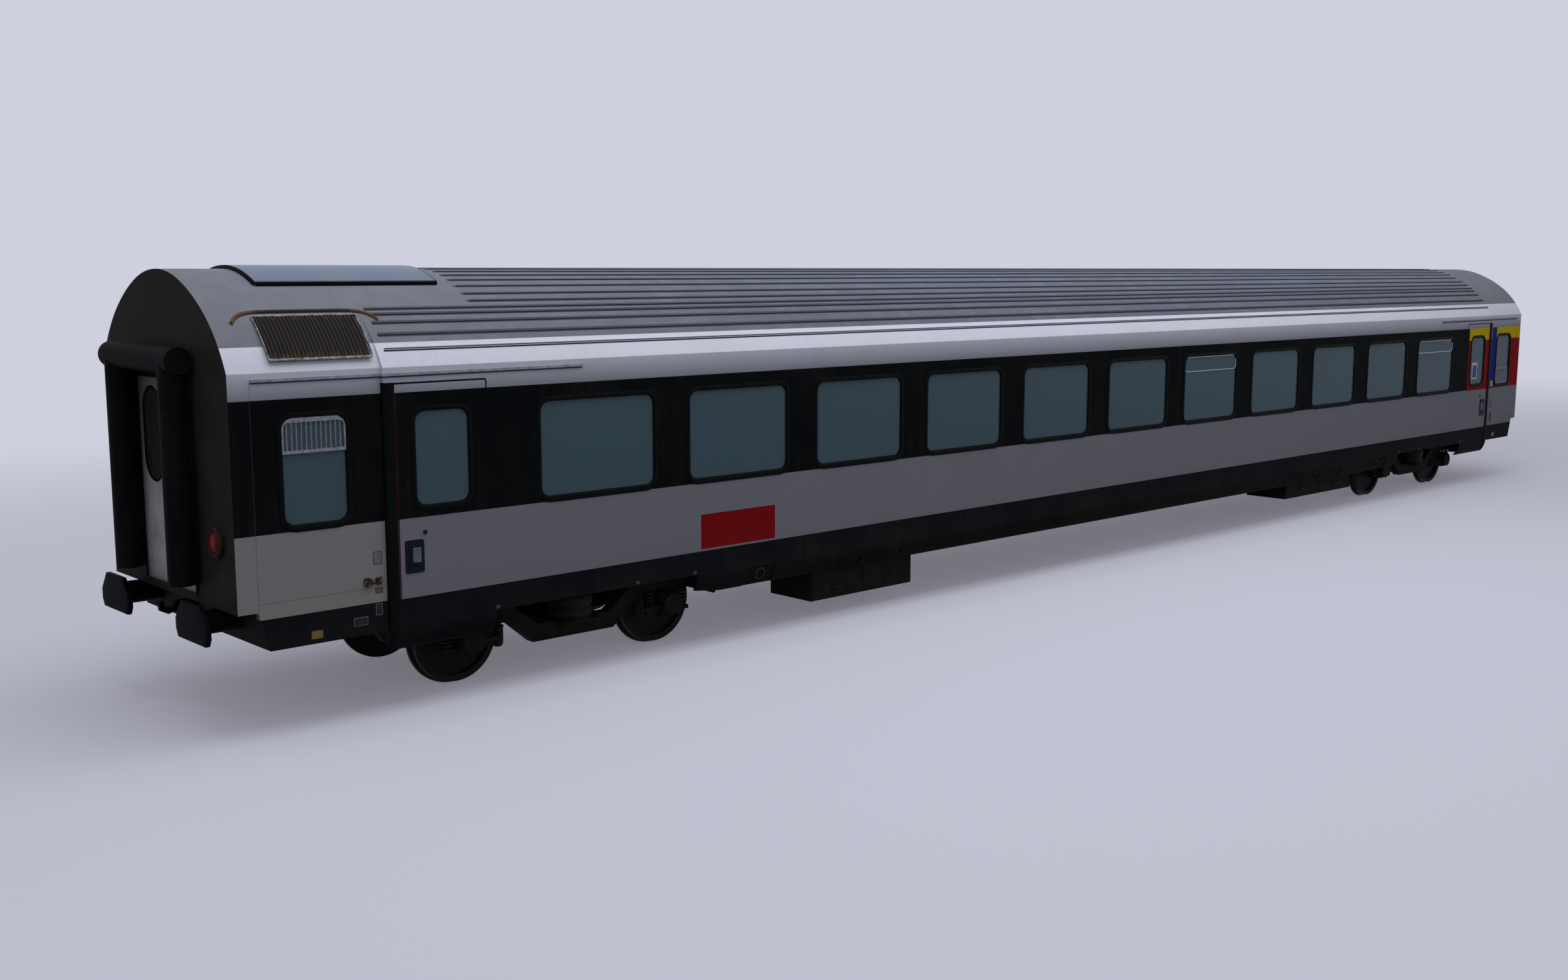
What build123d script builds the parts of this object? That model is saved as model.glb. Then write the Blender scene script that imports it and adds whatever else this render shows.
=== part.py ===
from build123d import *
import os

# A four-axle railway passenger coach. Lengths are in millimetres. X runs along the coach,
# Y across it, and heights are above the rail head until the pieces are written.

# Body shell
BODY_HALF = 13200.0          # middle of the coach to the face of an end wall
END_LENGTH = 1420.0          # end wall to the door post where the body narrows
MAIN_HALF = BODY_HALF - END_LENGTH
HALF_W = 1412.5              # half width of the main body
END_STEP = 37.5              # how much narrower the end sections are on each side
END_HALF_W = HALF_W - END_STEP
WALL_T = 70.0
END_WALL_T = 70.0
EAVE_Z = 3174.0
RIDGE_Z = EAVE_Z + HALF_W * 0.62018
CROWN = (HALF_W * 0.34025, RIDGE_Z - HALF_W * 0.0623)     # half width and height where its arc ends
HAUNCH = (HALF_W * 0.67009, RIDGE_Z - HALF_W * 0.24425)   # half width and height where its arc ends
SILL_Z = 800.0               # foot of the side walls
SKIRT_Z = 570.0              # foot of the skirts and doors
TUCK = 87.5                  # how far the skirt's foot lies inside the wall
SKIRT_T = 30.0

# Roof fittings at the -X end, and the drip rails over the doors
HATCH_INSET = 630.0          # end wall to the hatch
HATCH_L = 1820.0
HATCH_X = (HATCH_INSET - BODY_HALF, HATCH_INSET + HATCH_L - BODY_HALF)
HATCH_HALF = HALF_W * 0.439
HATCH_H = 35.0
LOUVRE_L = 970.0
LOUVRE_POST = 60.0           # louvre to the door post
LOUVRE_X = (-LOUVRE_POST - LOUVRE_L - MAIN_HALF, -LOUVRE_POST - MAIN_HALF)
LOUVRE_Y = (HALF_W * 0.7327, HALF_W * 0.9558)
LOUVRE_H = 16.0
LOUVRE_BAR = 40.0
SLAT_W = 40.0
SLATS = 8
GUTTER_RUN = 2180.0          # drip rail's reach from the door post towards the middle
GUTTER_INSET = 200.0         # end wall to the drip rail
GUTTER_X = (MAIN_HALF - GUTTER_RUN, BODY_HALF - GUTTER_INSET)
GUTTER_Z = 3100.0
GUTTER_W = 16.0
GUTTER_H = 24.0

# Roof ribs, rolled lengthwise beads
RIB_W = 24.0
RIB_H = 11.0
RIB_END = 30.0               # rib's end to the door post
RIB_START = 80.0
RIB_BEHIND = 180.0           # ribs above the haunch begin behind the roof hatch
RIB_FAR_X = MAIN_HALF - RIB_END
RIB_UPPER_X = HATCH_X[1] + RIB_BEHIND
RIB_LOWER_X = RIB_START - MAIN_HALF
RIB_SHARES = (0.0, 0.0885, 0.1982, 0.2938, 0.3788, 0.4673, 0.5572, 0.6287, 0.6867, 0.7278, 0.7844,
              0.8538, 0.9281)
RIB_Y = [HALF_W * share for share in RIB_SHARES]
UPPER_RIB_Y = HALF_W * 0.65

# Windows: each opening is the clear glass, with a rebate behind a lip of wall
WINDOW_COUNT = 11
DOOR_BAY = 2375.0            # door post to the middle of the last saloon window
WINDOW_PITCH = (MAIN_HALF - DOOR_BAY) * 2 / (WINDOW_COUNT - 1)
WINDOW_W = 1400.0
WINDOW_Z = (1840.0, 2780.0)
CORNER_R = 100.0
LIP_T = 14.0
REBATE = 36.0
PANE_T = 24.0
END_WINDOW_INSET = 760.0     # end wall to the middle of its window
END_WINDOW_X = BODY_HALF - END_WINDOW_INSET
END_WINDOW_W = 600.0
DOOR_WINDOW_W = 560.0
DOOR_WINDOW_Z = (1895.0, 2770.0)

# Entry doors
DOOR_W = 970.0
DOOR_POST = 100.0
DOOR_X = (MAIN_HALF - DOOR_POST - DOOR_W, MAIN_HALF - DOOR_POST)
DOOR_TOP_Z = 3030.0
DOOR_T = 45.0
DOOR_SEAL = 0.3
DOOR_GLASS_T = 20.0
DOOR_LIP_T = 10.0

# Skirt and wall foot
OVERHANG = 3700.0            # end wall to the middle of a bogie
BOGIE_X = BODY_HALF - OVERHANG
WELL_HALF = 1370.0           # bogie's middle to the skirt's end
SKIRT_HALF = BOGIE_X - WELL_HALF
SKIRT_CHAMFER = (380.0, 50.0)
FLAP_DEPTH = 12.0            # how far the skirt's flaps lie inside its face
FLAPS = (                    # ends as parts of the skirt's half length, height of the top edge
    (-0.913, -0.860, 780.0),
    (-0.758, -0.687, 690.0),
    (-0.673, -0.599, 690.0),
    (0.573, 0.659, 690.0),
    (0.664, 0.750, 690.0),
    (0.856, 0.946, 780.0))
POST_W = 60.0                # pillar between a bogie's cut-out and a door
END_FOOT_X = BODY_HALF - 280.0
END_FOOT_Z = 767.0
END_CORNER_X = BODY_HALF - 180.0
END_CORNER_Z = 1120.0        # also the floor's underside

# Floor, underframe and pivots
FLOOR_TOP_Z = 1170.0
FLOOR_T = 50.0
FRAME_TOP_Z = FLOOR_TOP_Z - FLOOR_T
CROSS_T = 90.0               # depth of the beams above the bogies
SILL_DEPTH = 200.0
SILL_W = 110.0
CENTRE_SILL_HALF = 250.0
SILL_END = 2000.0            # bogie's middle to the end of a side sill
HEADSTOCK_X = BODY_HALF - 500.0
HEADSTOCK_GAP = 3.0
SEAT_Z = 885.0               # underside of the pads that the air springs carry
PIVOT_R = 90.0
PIVOT_FOOT_Z = 380.0
BEARING_GAP = 0.5
RUNNING_GAP = 1.5

# Bogies
WHEELBASE = 2500.0
WHEEL_R = 460.0
FLANGE = 28.0
FLANGE_W = 30.0
FLANGE_BACK_Y = 680.0
RIM_W = 135.0
RIM_T = 65.0
WEB_INSET = 55.0             # rim's outer face to the web
AXLE_R = 80.0
JOURNAL_Y = 1080.0
BEAM_Y = 990.0
BEAM_W = 120.0
BEAM_H = 130.0
BEAM_END_X = 1500.0
BEAM_END_Z = 620.0
BEAM_DROP_Z = 310.0
BEAM_SEAT_Z = 490.0
DROP_X = (500.0, 870.0)
TRANSOM_HALF = 300.0
TRANSOM_Z = (310.0, 485.0)
BOX_W = 260.0
BOX_H = 250.0
BOX_Y = (890.0, 1100.0)
COVER_R = 120.0
COVER_T = 40.0
SPRING_R = 70.0
SPRING_X = 215.0
SPRING_FOOT_Z = 400.0
WING_T = 40.0
AIR_SPRING_R = 230.0
WAIST_R = 205.0              # waist between the two rolls of an air spring
WAIST_H = 45.0
SPRING_PAN_T = 20.0
DISC_R = 290.0
DISC_T = 110.0
DISC_Y = 340.0
JAW_GAP = 8.0
JAW_T = 30.0
JAW_H = 120.0

# Under the floor
BOX_REACH = (450.0, 1150.0)  # distances from the middle of the coach to a box's sides
BOXES = (                    # ends as parts of the skirt's half length, side, foot height
    (-0.760, -0.547, -1, 180.0),
    (0.578, 0.849, -1, 300.0),
    (-0.760, -0.547, 1, 300.0),
    (0.406, 0.603, 1, 300.0))
TANK_R = 200.0
TANK_X = 1200.0
TANK_HALF = 700.0

# Ends: gangway, end doors, buffers and drawhooks
TUBE_R = 118.0
TOP_TUBE_R = 121.0
TUBE_X = 150.0               # end wall face to the tubes' axes
TUBE_Y = 600.0
TUBE_FOOT_Z = 1300.0
TUBE_TOP_Z = 3270.0
TUBE_TOP_HALF = 760.0
DOORWAY_HALF = 560.0
DOORWAY_TOP_Z = 3095.0
LEAF_T = 40.0
LEAF_GAP = 6.0               # round a leaf, and between the two leaves
LEAF_LAP = 35.0              # how far a shut leaf stays inside the end wall
SLIDE = 550.0                # a leaf's travel into the end wall
SKIN_T = 10.0                # end wall outside the leaves' pocket
TRACK_H = 20.0
OVAL_W = 400.0
OVAL_Z = (2130.0, 2980.0)
OVAL_Y = 295.0
BUFFER_Y = 875.0
BUFFER_Z = 1000.0
BUFFER_X = 205.0             # end wall face to the buffers' faces
BUFFER_R = 108.0
HEAD_T = 40.0
HEAD_HALF = (200.0, 330.0, 290.0)            # half widths at the top, the middle and the foot
HEAD_Z = (1180.0, 1010.0, 915.0, 845.0)      # heights of the head's corners
HOOK_T = 60.0
LAMP_Y = 1050.0
LAMP_Z = 1717.0
LAMP_R = 130.0
LAMP_T = 35.0

# Inside
PARTITION_GAP = 190.0        # doorway to the bulkhead
PARTITION_X = DOOR_X[0] - PARTITION_GAP
PARTITION_T = 50.0
AISLE_Y = (-60.0, 560.0)
PARTITION_DOOR_Z = 3050.0
CEILING_Z = 3330.0
CEILING_T = 30.0
SEAT_H = 450.0
SEAT_D = 520.0
SEAT_T = 110.0
BACK_H = 1150.0
BACK_T = 110.0
SEAT_W = 560.0
SEAT_WALL_GAP = 30.0
RACK_Z = 2880.0
RACK_D = 420.0
RACK_T = 35.0
STEP_T = 20.0
STEP_Y = (HALF_W - 432.5, HALF_W - 242.5, HALF_W - 147.5)
STEP_Z = (850.0, 615.0)

WHEEL_X = [s * BOGIE_X + t * WHEELBASE / 2 for s in (-1, 1) for t in (-1, 1)]
INNER_W = HALF_W - WALL_T


def along(section, x0, x1):
    """Carries a section drawn in (Y, Z) from x0 to x1."""
    return Pos(x0, 0, 0) * extrude(Plane.YZ * section, x1 - x0)


def across(section, y0, y1):
    """Carries a section drawn in (X, Z) from y0 to y1."""
    return Pos(0, y0, 0) * extrude(Plane.XZ * section, y0 - y1)


def block(x0, x1, y0, y1, z0, z1):
    """A plain block between two opposite corners."""
    return Pos((x0 + x1) / 2, (y0 + y1) / 2, (z0 + z1) / 2) * Box(x1 - x0, y1 - y0, z1 - z0)


def polygon(*points):
    """A flat face with straight sides through the points."""
    return make_face(Polyline(*points, close=True))


def rounded(width, z0, z1, radius=CORNER_R):
    """A window outline centred on X = 0."""
    return Pos(0, (z0 + z1) / 2) * RectangleRounded(width, z1 - z0, radius)


def span(y0, y1, z0, z1):
    """A rectangle between two opposite corners of a section."""
    return Pos((y0 + y1) / 2, (z0 + z1) / 2) * Rectangle(y1 - y0, z1 - z0)


def both_sides(part):
    """The part and its mirror image across the coach."""
    return part + mirror(part, Plane.XZ)


def both_ends(part):
    """The part and its mirror image along the coach."""
    return part + mirror(part, Plane.YZ)


def roof_arcs(half_w):
    """Crown, haunch and eave arcs of one half, each tangent to the one before."""
    crown = ThreePointArc((-CROWN[0], CROWN[1]), (0, RIDGE_Z), CROWN)
    haunch = TangentArc(CROWN, HAUNCH, tangent=crown % 1)
    eave = TangentArc(HAUNCH, (half_w, EAVE_Z), tangent=haunch % 1)
    return crown, haunch, eave


def outline(half_w):
    """The whole cross-section, solid, from the ridge to the tucked-in foot."""
    crown, haunch, eave = roof_arcs(half_w)
    side = Line((half_w, EAVE_Z), (half_w, SILL_Z))
    tuck = TangentArc((half_w, SILL_Z), (half_w - TUCK, SKIRT_Z), tangent=(0, -1))
    foot = Line(tuck @ 1, tuck @ 1 + (tuck % 1) * WALL_T * 2)
    half = haunch + eave + side + tuck + foot
    other = mirror(half, Plane.YZ)
    tip = foot @ 1
    base = Line((tip.X, tip.Y), (-tip.X, tip.Y))
    return make_face(crown + half + other + base)


def shell(half_w, thickness):
    """The ring between the outline and its inner offset."""
    solid = outline(half_w)
    return solid - offset(solid, amount=-thickness, kind=Kind.INTERSECTION)


def raised(height, y0, y1):
    """A strip of the end section's roof surface, standing proud of it by a height."""
    body = outline(END_HALF_W)
    skin = offset(body, amount=height, kind=Kind.INTERSECTION) - body
    return skin & span(y0, y1, EAVE_Z, RIDGE_Z * 2)


def roof_height(y, half_w):
    """Height and slope of the roof surface at a distance from the ridge."""
    for arc in roof_arcs(half_w):
        if y <= (arc @ 1).X:
            centre = arc.arc_center
            rise = (arc.radius**2 - (y - centre.X)**2)**0.5
            return centre.Y + rise, Vector(y - centre.X, rise)
    return EAVE_Z, Vector(1, 0)


def window_places():
    """Centres of the saloon windows."""
    middle = (WINDOW_COUNT - 1) / 2
    return [WINDOW_PITCH * (i - middle) for i in range(WINDOW_COUNT)]


def side_wall():
    """The wall on the -Y side, with its windows and doorways cut."""
    main = shell(HALF_W, WALL_T) & span(-HALF_W, -1, SILL_Z, EAVE_Z)
    ends = shell(END_HALF_W, WALL_T) & span(-HALF_W, -1, END_FOOT_Z, EAVE_Z)
    stop = BODY_HALF - END_WALL_T
    end = along(ends, MAIN_HALF, stop)
    corner = polygon((END_FOOT_X, 0), (END_FOOT_X, END_FOOT_Z), (END_CORNER_X, END_CORNER_Z),
                     (BODY_HALF, END_CORNER_Z), (BODY_HALF, 0))
    end -= across(corner, -HALF_W * 2, 0)
    wall = along(main, -MAIN_HALF, MAIN_HALF) + both_ends(end)
    places = [(x, WINDOW_W, WINDOW_Z, HALF_W) for x in window_places()]
    places += [(s * END_WINDOW_X, END_WINDOW_W, WINDOW_Z, END_HALF_W) for s in (-1, 1)]
    for x, width, (z0, z1), half_w in places:
        wall -= across(Pos(x, 0) * rounded(width, z0, z1), -half_w * 2, -half_w / 2)
        rebate = block(-width / 2 - REBATE, width / 2 + REBATE, LIP_T - half_w, -half_w / 2,
                       z0 - REBATE, z1 + REBATE)
        wall -= Pos(x, 0, 0) * rebate
    gap = DOOR_SEAL
    doorway = block(DOOR_X[0] - gap, DOOR_X[1] + gap, -HALF_W * 2, -HALF_W / 2, 0, DOOR_TOP_Z + gap)
    return wall - both_ends(doorway)


def side_panes():
    """Window glass of the -Y side, seated against the lips of the wall."""
    places = [(x, WINDOW_W, HALF_W) for x in window_places()]
    places += [(s * END_WINDOW_X, END_WINDOW_W, END_HALF_W) for s in (-1, 1)]
    edge = REBATE - DOOR_SEAL
    panes = [Pos(x, 0, 0) * block(-w / 2 - edge, w / 2 + edge, LIP_T - half_w, LIP_T + PANE_T - half_w,
                                  WINDOW_Z[0] - edge, WINDOW_Z[1] + edge)
             for x, w, half_w in places]
    return Compound(children=[p for p in panes])


def skirt():
    """Lower side panels of the -Y side with their flaps, and the door pillars' feet."""
    ring = shell(HALF_W, SKIRT_T) & span(-HALF_W, -1, SKIRT_Z, SILL_Z)
    middle = along(ring, -SKIRT_HALF, SKIRT_HALF)
    for x0, x1, top in FLAPS:
        recess = shell(HALF_W, FLAP_DEPTH) & span(-HALF_W, -1, SKIRT_Z, top)
        middle -= along(recess, x0 * SKIRT_HALF, x1 * SKIRT_HALF)
    dx, dz = SKIRT_CHAMFER
    corner = polygon((SKIRT_HALF, SKIRT_Z), (SKIRT_HALF - dx, SKIRT_Z), (SKIRT_HALF, SKIRT_Z + dz))
    middle -= both_ends(across(corner, -HALF_W * 2, 0))
    inner = along(ring, DOOR_X[0] - POST_W, DOOR_X[0] - DOOR_SEAL)
    outer = along(ring, DOOR_X[1] + DOOR_SEAL, MAIN_HALF)
    return [middle] + [mirror(p, Plane.YZ) if s < 0 else p for p in (inner, outer) for s in (-1, 1)]


def entry_door():
    """A door leaf of the -Y side at the +X end, with its glass seated behind a lip."""
    ring = shell(HALF_W, DOOR_T) & span(-HALF_W, -1, SKIRT_Z, DOOR_TOP_Z)
    leaf = along(ring, DOOR_X[0], DOOR_X[1])
    middle = sum(DOOR_X) / 2
    z0, z1 = DOOR_WINDOW_Z
    leaf -= across(Pos(middle, 0) * rounded(DOOR_WINDOW_W, z0, z1), -HALF_W * 2, 0)
    half = DOOR_WINDOW_W / 2 + REBATE
    leaf -= block(middle - half, middle + half, DOOR_LIP_T - HALF_W, 0, z0 - REBATE, z1 + REBATE)
    half -= DOOR_SEAL
    glass = block(middle - half, middle + half, DOOR_LIP_T - HALF_W, DOOR_LIP_T + DOOR_GLASS_T - HALF_W,
                  z0 - REBATE + DOOR_SEAL, z1 + REBATE - DOOR_SEAL)
    return leaf, glass


def roof():
    """The roof shell with its rolled ribs."""
    stop = BODY_HALF - END_WALL_T
    main = shell(HALF_W, WALL_T) & span(-HALF_W, HALF_W, EAVE_Z, RIDGE_Z * 2)
    end = shell(END_HALF_W, WALL_T) & span(-HALF_W, HALF_W, EAVE_Z, RIDGE_Z * 2)
    top = along(main, -MAIN_HALF, MAIN_HALF) + both_ends(along(end, MAIN_HALF, stop))
    for y in RIB_Y:
        z, normal = roof_height(y, HALF_W)
        start = RIB_UPPER_X if y < UPPER_RIB_Y else RIB_LOWER_X
        turn = -normal.get_angle(Vector(0, 1))
        for s in ((1, -1) if y else (1,)):
            bead = Pos(s * y, z) * Rot(0, 0, s * turn) * Rectangle(RIB_W, RIB_H * 2)
            top += along(bead, start, RIB_FAR_X)
    return top


def end_wall():
    """End wall at +X with the doorway to the gangway and the pocket that its leaves slide in."""
    plate = outline(END_HALF_W) & span(-HALF_W, HALF_W, END_CORNER_Z, RIDGE_Z * 2)
    plate -= span(-DOORWAY_HALF, DOORWAY_HALF, FLOOR_TOP_Z, DOORWAY_TOP_Z)
    x0, x1 = leaf_place()
    reach = DOORWAY_HALF + LEAF_LAP + SLIDE + LEAF_GAP
    pocket = block(x0 - LEAF_GAP, x1 + LEAF_GAP, -reach, reach, FLOOR_TOP_Z, track_foot() + TRACK_H)
    return along(plate, BODY_HALF - END_WALL_T, BODY_HALF) - pocket


def leaf_place():
    """Inner and outer faces of the end door's leaves at +X."""
    face = BODY_HALF - SKIN_T - LEAF_GAP
    return face - LEAF_T, face


def track_foot():
    """Height of the rail that the leaves hang under."""
    return DOORWAY_TOP_Z + LEAF_LAP + BEARING_GAP


def end_leaf():
    """Sliding leaf of the +Y side at +X with its oval window, and the pane in it."""
    x0, x1 = leaf_place()
    leaf = block(x0, x1, LEAF_GAP / 2, DOORWAY_HALF + LEAF_LAP, FLOOR_TOP_Z + LEAF_GAP,
                 DOORWAY_TOP_Z + LEAF_LAP)
    z0, z1 = OVAL_Z
    oval = Pos(OVAL_Y, (z0 + z1) / 2) * SlotOverall(z1 - z0, OVAL_W, rotation=90)
    leaf -= along(oval, x0, x1)
    half = OVAL_W / 2 + REBATE
    seat = x1 - DOOR_LIP_T
    leaf -= block(x0, seat, OVAL_Y - half, OVAL_Y + half, z0 - REBATE, z1 + REBATE)
    half -= DOOR_SEAL
    edge = REBATE - DOOR_SEAL
    return leaf, block(seat - DOOR_GLASS_T, seat, OVAL_Y - half, OVAL_Y + half, z0 - edge, z1 + edge)


def end_track():
    """Rail in the head of the end wall's pocket, which both leaves hang under."""
    x0, x1 = leaf_place()
    reach = DOORWAY_HALF + LEAF_LAP + SLIDE + LEAF_GAP
    return block(x0 - LEAF_GAP, x1 + LEAF_GAP, -reach, reach, track_foot(), track_foot() + TRACK_H)


def floor():
    """Floor slab between the walls, cut out at the entry steps."""
    half = END_HALF_W - WALL_T
    slab = block(-MAIN_HALF, MAIN_HALF, -INNER_W, INNER_W, FRAME_TOP_Z, FLOOR_TOP_Z)
    stop = BODY_HALF - END_WALL_T
    slab += both_ends(block(MAIN_HALF, stop, -half, half, FRAME_TOP_Z, FLOOR_TOP_Z))
    well = block(DOOR_X[0], DOOR_X[1], -HALF_W, -STEP_Y[0], 0, FLOOR_TOP_Z * 2)
    return slab - both_ends(both_sides(well))


def entry_steps():
    """Folded step plate inside a doorway of the -Y side at +X."""
    y0, y1, y2 = STEP_Y
    upper, lower = STEP_Z
    plate = polygon((-y0, FLOOR_TOP_Z), (-y0, upper), (-y1, upper), (-y1, lower), (-y2, lower),
                    (-y2, lower + STEP_T), (-y1 - STEP_T, lower + STEP_T), (-y1 - STEP_T, upper + STEP_T),
                    (-y0 - STEP_T, upper + STEP_T), (-y0 - STEP_T, FLOOR_TOP_Z))
    return along(plate, DOOR_X[0], DOOR_X[1])


def underframe():
    """Side sills, centre sill, cross beams, bolsters with pivots, and headstocks."""
    low = FRAME_TOP_Z - SILL_DEPTH
    reach = BOGIE_X - SILL_END
    sill = block(-reach, reach, -INNER_W, SILL_W - INNER_W, low, FRAME_TOP_Z)
    frame = both_sides(sill)
    top = block(-HEADSTOCK_X, HEADSTOCK_X, -CENTRE_SILL_HALF, CENTRE_SILL_HALF,
                FRAME_TOP_Z - CROSS_T, FRAME_TOP_Z)
    frame += top
    beams = int(reach / WINDOW_PITCH)
    for i in range(-beams, beams + 1):
        x = i * WINDOW_PITCH
        frame += block(x - SILL_W / 2, x + SILL_W / 2, -INNER_W, INNER_W, low + CROSS_T, FRAME_TOP_Z)
    for s in (-1, 1):
        x = s * BOGIE_X
        frame += block(x - TRANSOM_HALF, x + TRANSOM_HALF, -INNER_W, INNER_W, SEAT_Z, FRAME_TOP_Z)
        pin = Cylinder(PIVOT_R, SEAT_Z - PIVOT_FOOT_Z, align=(Align.CENTER, Align.CENTER, Align.MIN))
        frame += Pos(x, 0, PIVOT_FOOT_Z) * pin
    half = END_HALF_W - WALL_T - HEADSTOCK_GAP
    section = polygon((HEADSTOCK_X, END_FOOT_Z), (END_FOOT_X, END_FOOT_Z),
                      (END_CORNER_X, END_CORNER_Z), (HEADSTOCK_X, END_CORNER_Z))
    return frame + both_ends(across(section, -half, half))


def buffer(side):
    """A buffer at +X: round housing and a flat head with sloping shoulders."""
    y = side * BUFFER_Y
    face = BODY_HALF + BUFFER_X
    top, wide, foot = HEAD_HALF
    z0, z1, z2, z3 = HEAD_Z
    head = polygon((-top, z0), (top, z0), (wide, z1), (wide, z2), (foot, z3), (-foot, z3),
                   (-wide, z2), (-wide, z1))
    plate = along(Pos(y, 0) * head, face - HEAD_T, face)
    shank = along(Pos(y, BUFFER_Z) * Circle(BUFFER_R), HEADSTOCK_X + SILL_W, face - HEAD_T)
    return plate + shank


def drawhook():
    """Forged hook at +X on the coach's centre line."""
    shank = END_FOOT_X - SILL_W
    face = BODY_HALF
    hook = polygon((shank, 960), (face - 20, 960), (face + 60, 930), (face + 130, 965), (face + 145, 1040),
                   (face + 100, 1060), (face + 85, 1000), (face + 35, 985), (face - 10, 1040), (shank, 1040))
    return across(hook, -HOOK_T / 2, HOOK_T / 2)


def gangway():
    """Rubber gangway at +X: two upright tubes and one across the top, on a flat frame."""
    x = BODY_HALF + TUBE_X
    edge = TUBE_R / 2
    arch = span(-TUBE_Y - edge, TUBE_Y + edge, TUBE_FOOT_Z, TUBE_TOP_Z + edge)
    arch -= span(-DOORWAY_HALF, DOORWAY_HALF, TUBE_FOOT_Z, TUBE_TOP_Z - edge)
    upright = Pos(x, TUBE_Y, TUBE_FOOT_Z) * Cylinder(TUBE_R, TUBE_TOP_Z - TUBE_FOOT_Z,
                                                   align=(Align.CENTER, Align.CENTER, Align.MIN))
    top = across(Pos(x, TUBE_TOP_Z) * Circle(TOP_TUBE_R), -TUBE_TOP_HALF, TUBE_TOP_HALF)
    return both_sides(upright) + top + along(arch, BODY_HALF, x - edge)


def tail_lamp(side):
    """Round lamp housing on the end wall at +X."""
    return along(Pos(side * LAMP_Y, LAMP_Z) * Circle(LAMP_R), BODY_HALF, BODY_HALF + LAMP_T)


def roof_hatch():
    """Raised cover over the roof equipment at the -X end."""
    return along(raised(HATCH_H, -HATCH_HALF, HATCH_HALF), HATCH_X[0], HATCH_X[1])


def louvre():
    """Slatted air inlet low on the roof at the -X end, -Y side."""
    y0, y1 = LOUVRE_Y
    x0, x1 = LOUVRE_X
    grille = along(raised(LOUVRE_H, -y1, LOUVRE_BAR - y1), x0, x1)
    grille += along(raised(LOUVRE_H, -y0 - LOUVRE_BAR, -y0), x0, x1)
    pitch = (x1 - x0 - SLAT_W) / (SLATS - 1)
    slat = raised(LOUVRE_H, -y1, -y0)
    for i in range(SLATS):
        grille += along(slat, x0 + i * pitch, x0 + i * pitch + SLAT_W)
    return grille


def gutter():
    """Drip rail over a doorway of the -Y side at +X, which steps in with the wall."""
    x0, x1 = GUTTER_X
    z0, z1 = GUTTER_Z, GUTTER_Z + GUTTER_H
    rail = block(x0, MAIN_HALF + GUTTER_W, -HALF_W - GUTTER_W, -HALF_W, z0, z1)
    rail += block(MAIN_HALF, MAIN_HALF + GUTTER_W, -HALF_W, -END_HALF_W, z0, z1)
    rail += block(MAIN_HALF, x1, -END_HALF_W - GUTTER_W, -END_HALF_W, z0, z1)
    return rail


def partition():
    """Bulkhead between the saloon and the vestibule at +X, with its doorway."""
    plate = offset(outline(HALF_W), amount=-WALL_T, kind=Kind.INTERSECTION)
    plate &= span(-HALF_W, HALF_W, FLOOR_TOP_Z, CEILING_Z)
    plate -= span(AISLE_Y[0], AISLE_Y[1], FLOOR_TOP_Z, PARTITION_DOOR_Z)
    return along(plate, PARTITION_X, PARTITION_X + PARTITION_T)


def ceiling():
    """Flat ceiling panel between the roof haunches."""
    plate = offset(outline(HALF_W), amount=-WALL_T, kind=Kind.INTERSECTION)
    plate &= span(-HALF_W, HALF_W, CEILING_Z, CEILING_Z + CEILING_T)
    return along(plate, -MAIN_HALF, MAIN_HALF)


def seat_unit(y0, y1):
    """Two seats back to back, drawn in (X, Z), between two distances across the coach."""
    z = FLOOR_TOP_Z
    edge = BACK_T / 2 + SEAT_D
    foot = BACK_T / 2 + SEAT_D * 0.8
    lumbar = BACK_T / 2 + 60
    under = z + SEAT_H - SEAT_T
    right = [(foot, z), (foot, under - 20), (edge, under), (edge, z + SEAT_H), (lumbar, z + SEAT_H - 30),
             (BACK_T / 2, z + BACK_H)]
    left = [(-x, height) for x, height in reversed(right)]
    return across(polygon(*(right + left)), y0, y1)


def seats(y0, y1):
    """Seat units between the windows."""
    edges = [x + WINDOW_PITCH / 2 for x in window_places()[:-1]]
    return [Pos(x, 0, 0) * seat_unit(y0, y1) for x in edges]


def luggage_rack():
    """Shelf above the windows of the -Y side."""
    return block(-PARTITION_X, PARTITION_X, -INNER_W, RACK_D - INNER_W, RACK_Z, RACK_Z + RACK_T)


def beam_section():
    """Side beam of a bogie drawn in (X, Z): level ends and a dropped middle."""
    x0, x1 = DROP_X
    x2 = BEAM_END_X
    top = BEAM_END_Z + BEAM_H
    right = [(x0, BEAM_DROP_Z), (x1, BEAM_END_Z), (x2, BEAM_END_Z), (x2, top), (x1 - 90, top),
             (x0 - 60, BEAM_SEAT_Z)]
    left = [(-x, z) for x, z in reversed(right)]
    return polygon(*(right + left))


def bogie_frame():
    """Two side beams joined by a transom with the pivot's hole."""
    beam = across(beam_section(), -BEAM_Y - BEAM_W / 2, -BEAM_Y + BEAM_W / 2)
    r = AIR_SPRING_R
    beam += block(-r, r, -BEAM_Y - r, r - BEAM_Y, BEAM_SEAT_Z - SPRING_PAN_T, BEAM_SEAT_Z)
    edge = BEAM_Y - BEAM_W / 2
    half = TRANSOM_HALF - 60
    transom = block(-half, half, -edge, edge, *TRANSOM_Z)
    hole = Pos(0, 0, TRANSOM_Z[0]) * Cylinder(PIVOT_R + RUNNING_GAP, TRANSOM_Z[1],
                                             align=(Align.CENTER, Align.CENTER, Align.MIN))
    return both_sides(beam) + (transom - hole)


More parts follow.
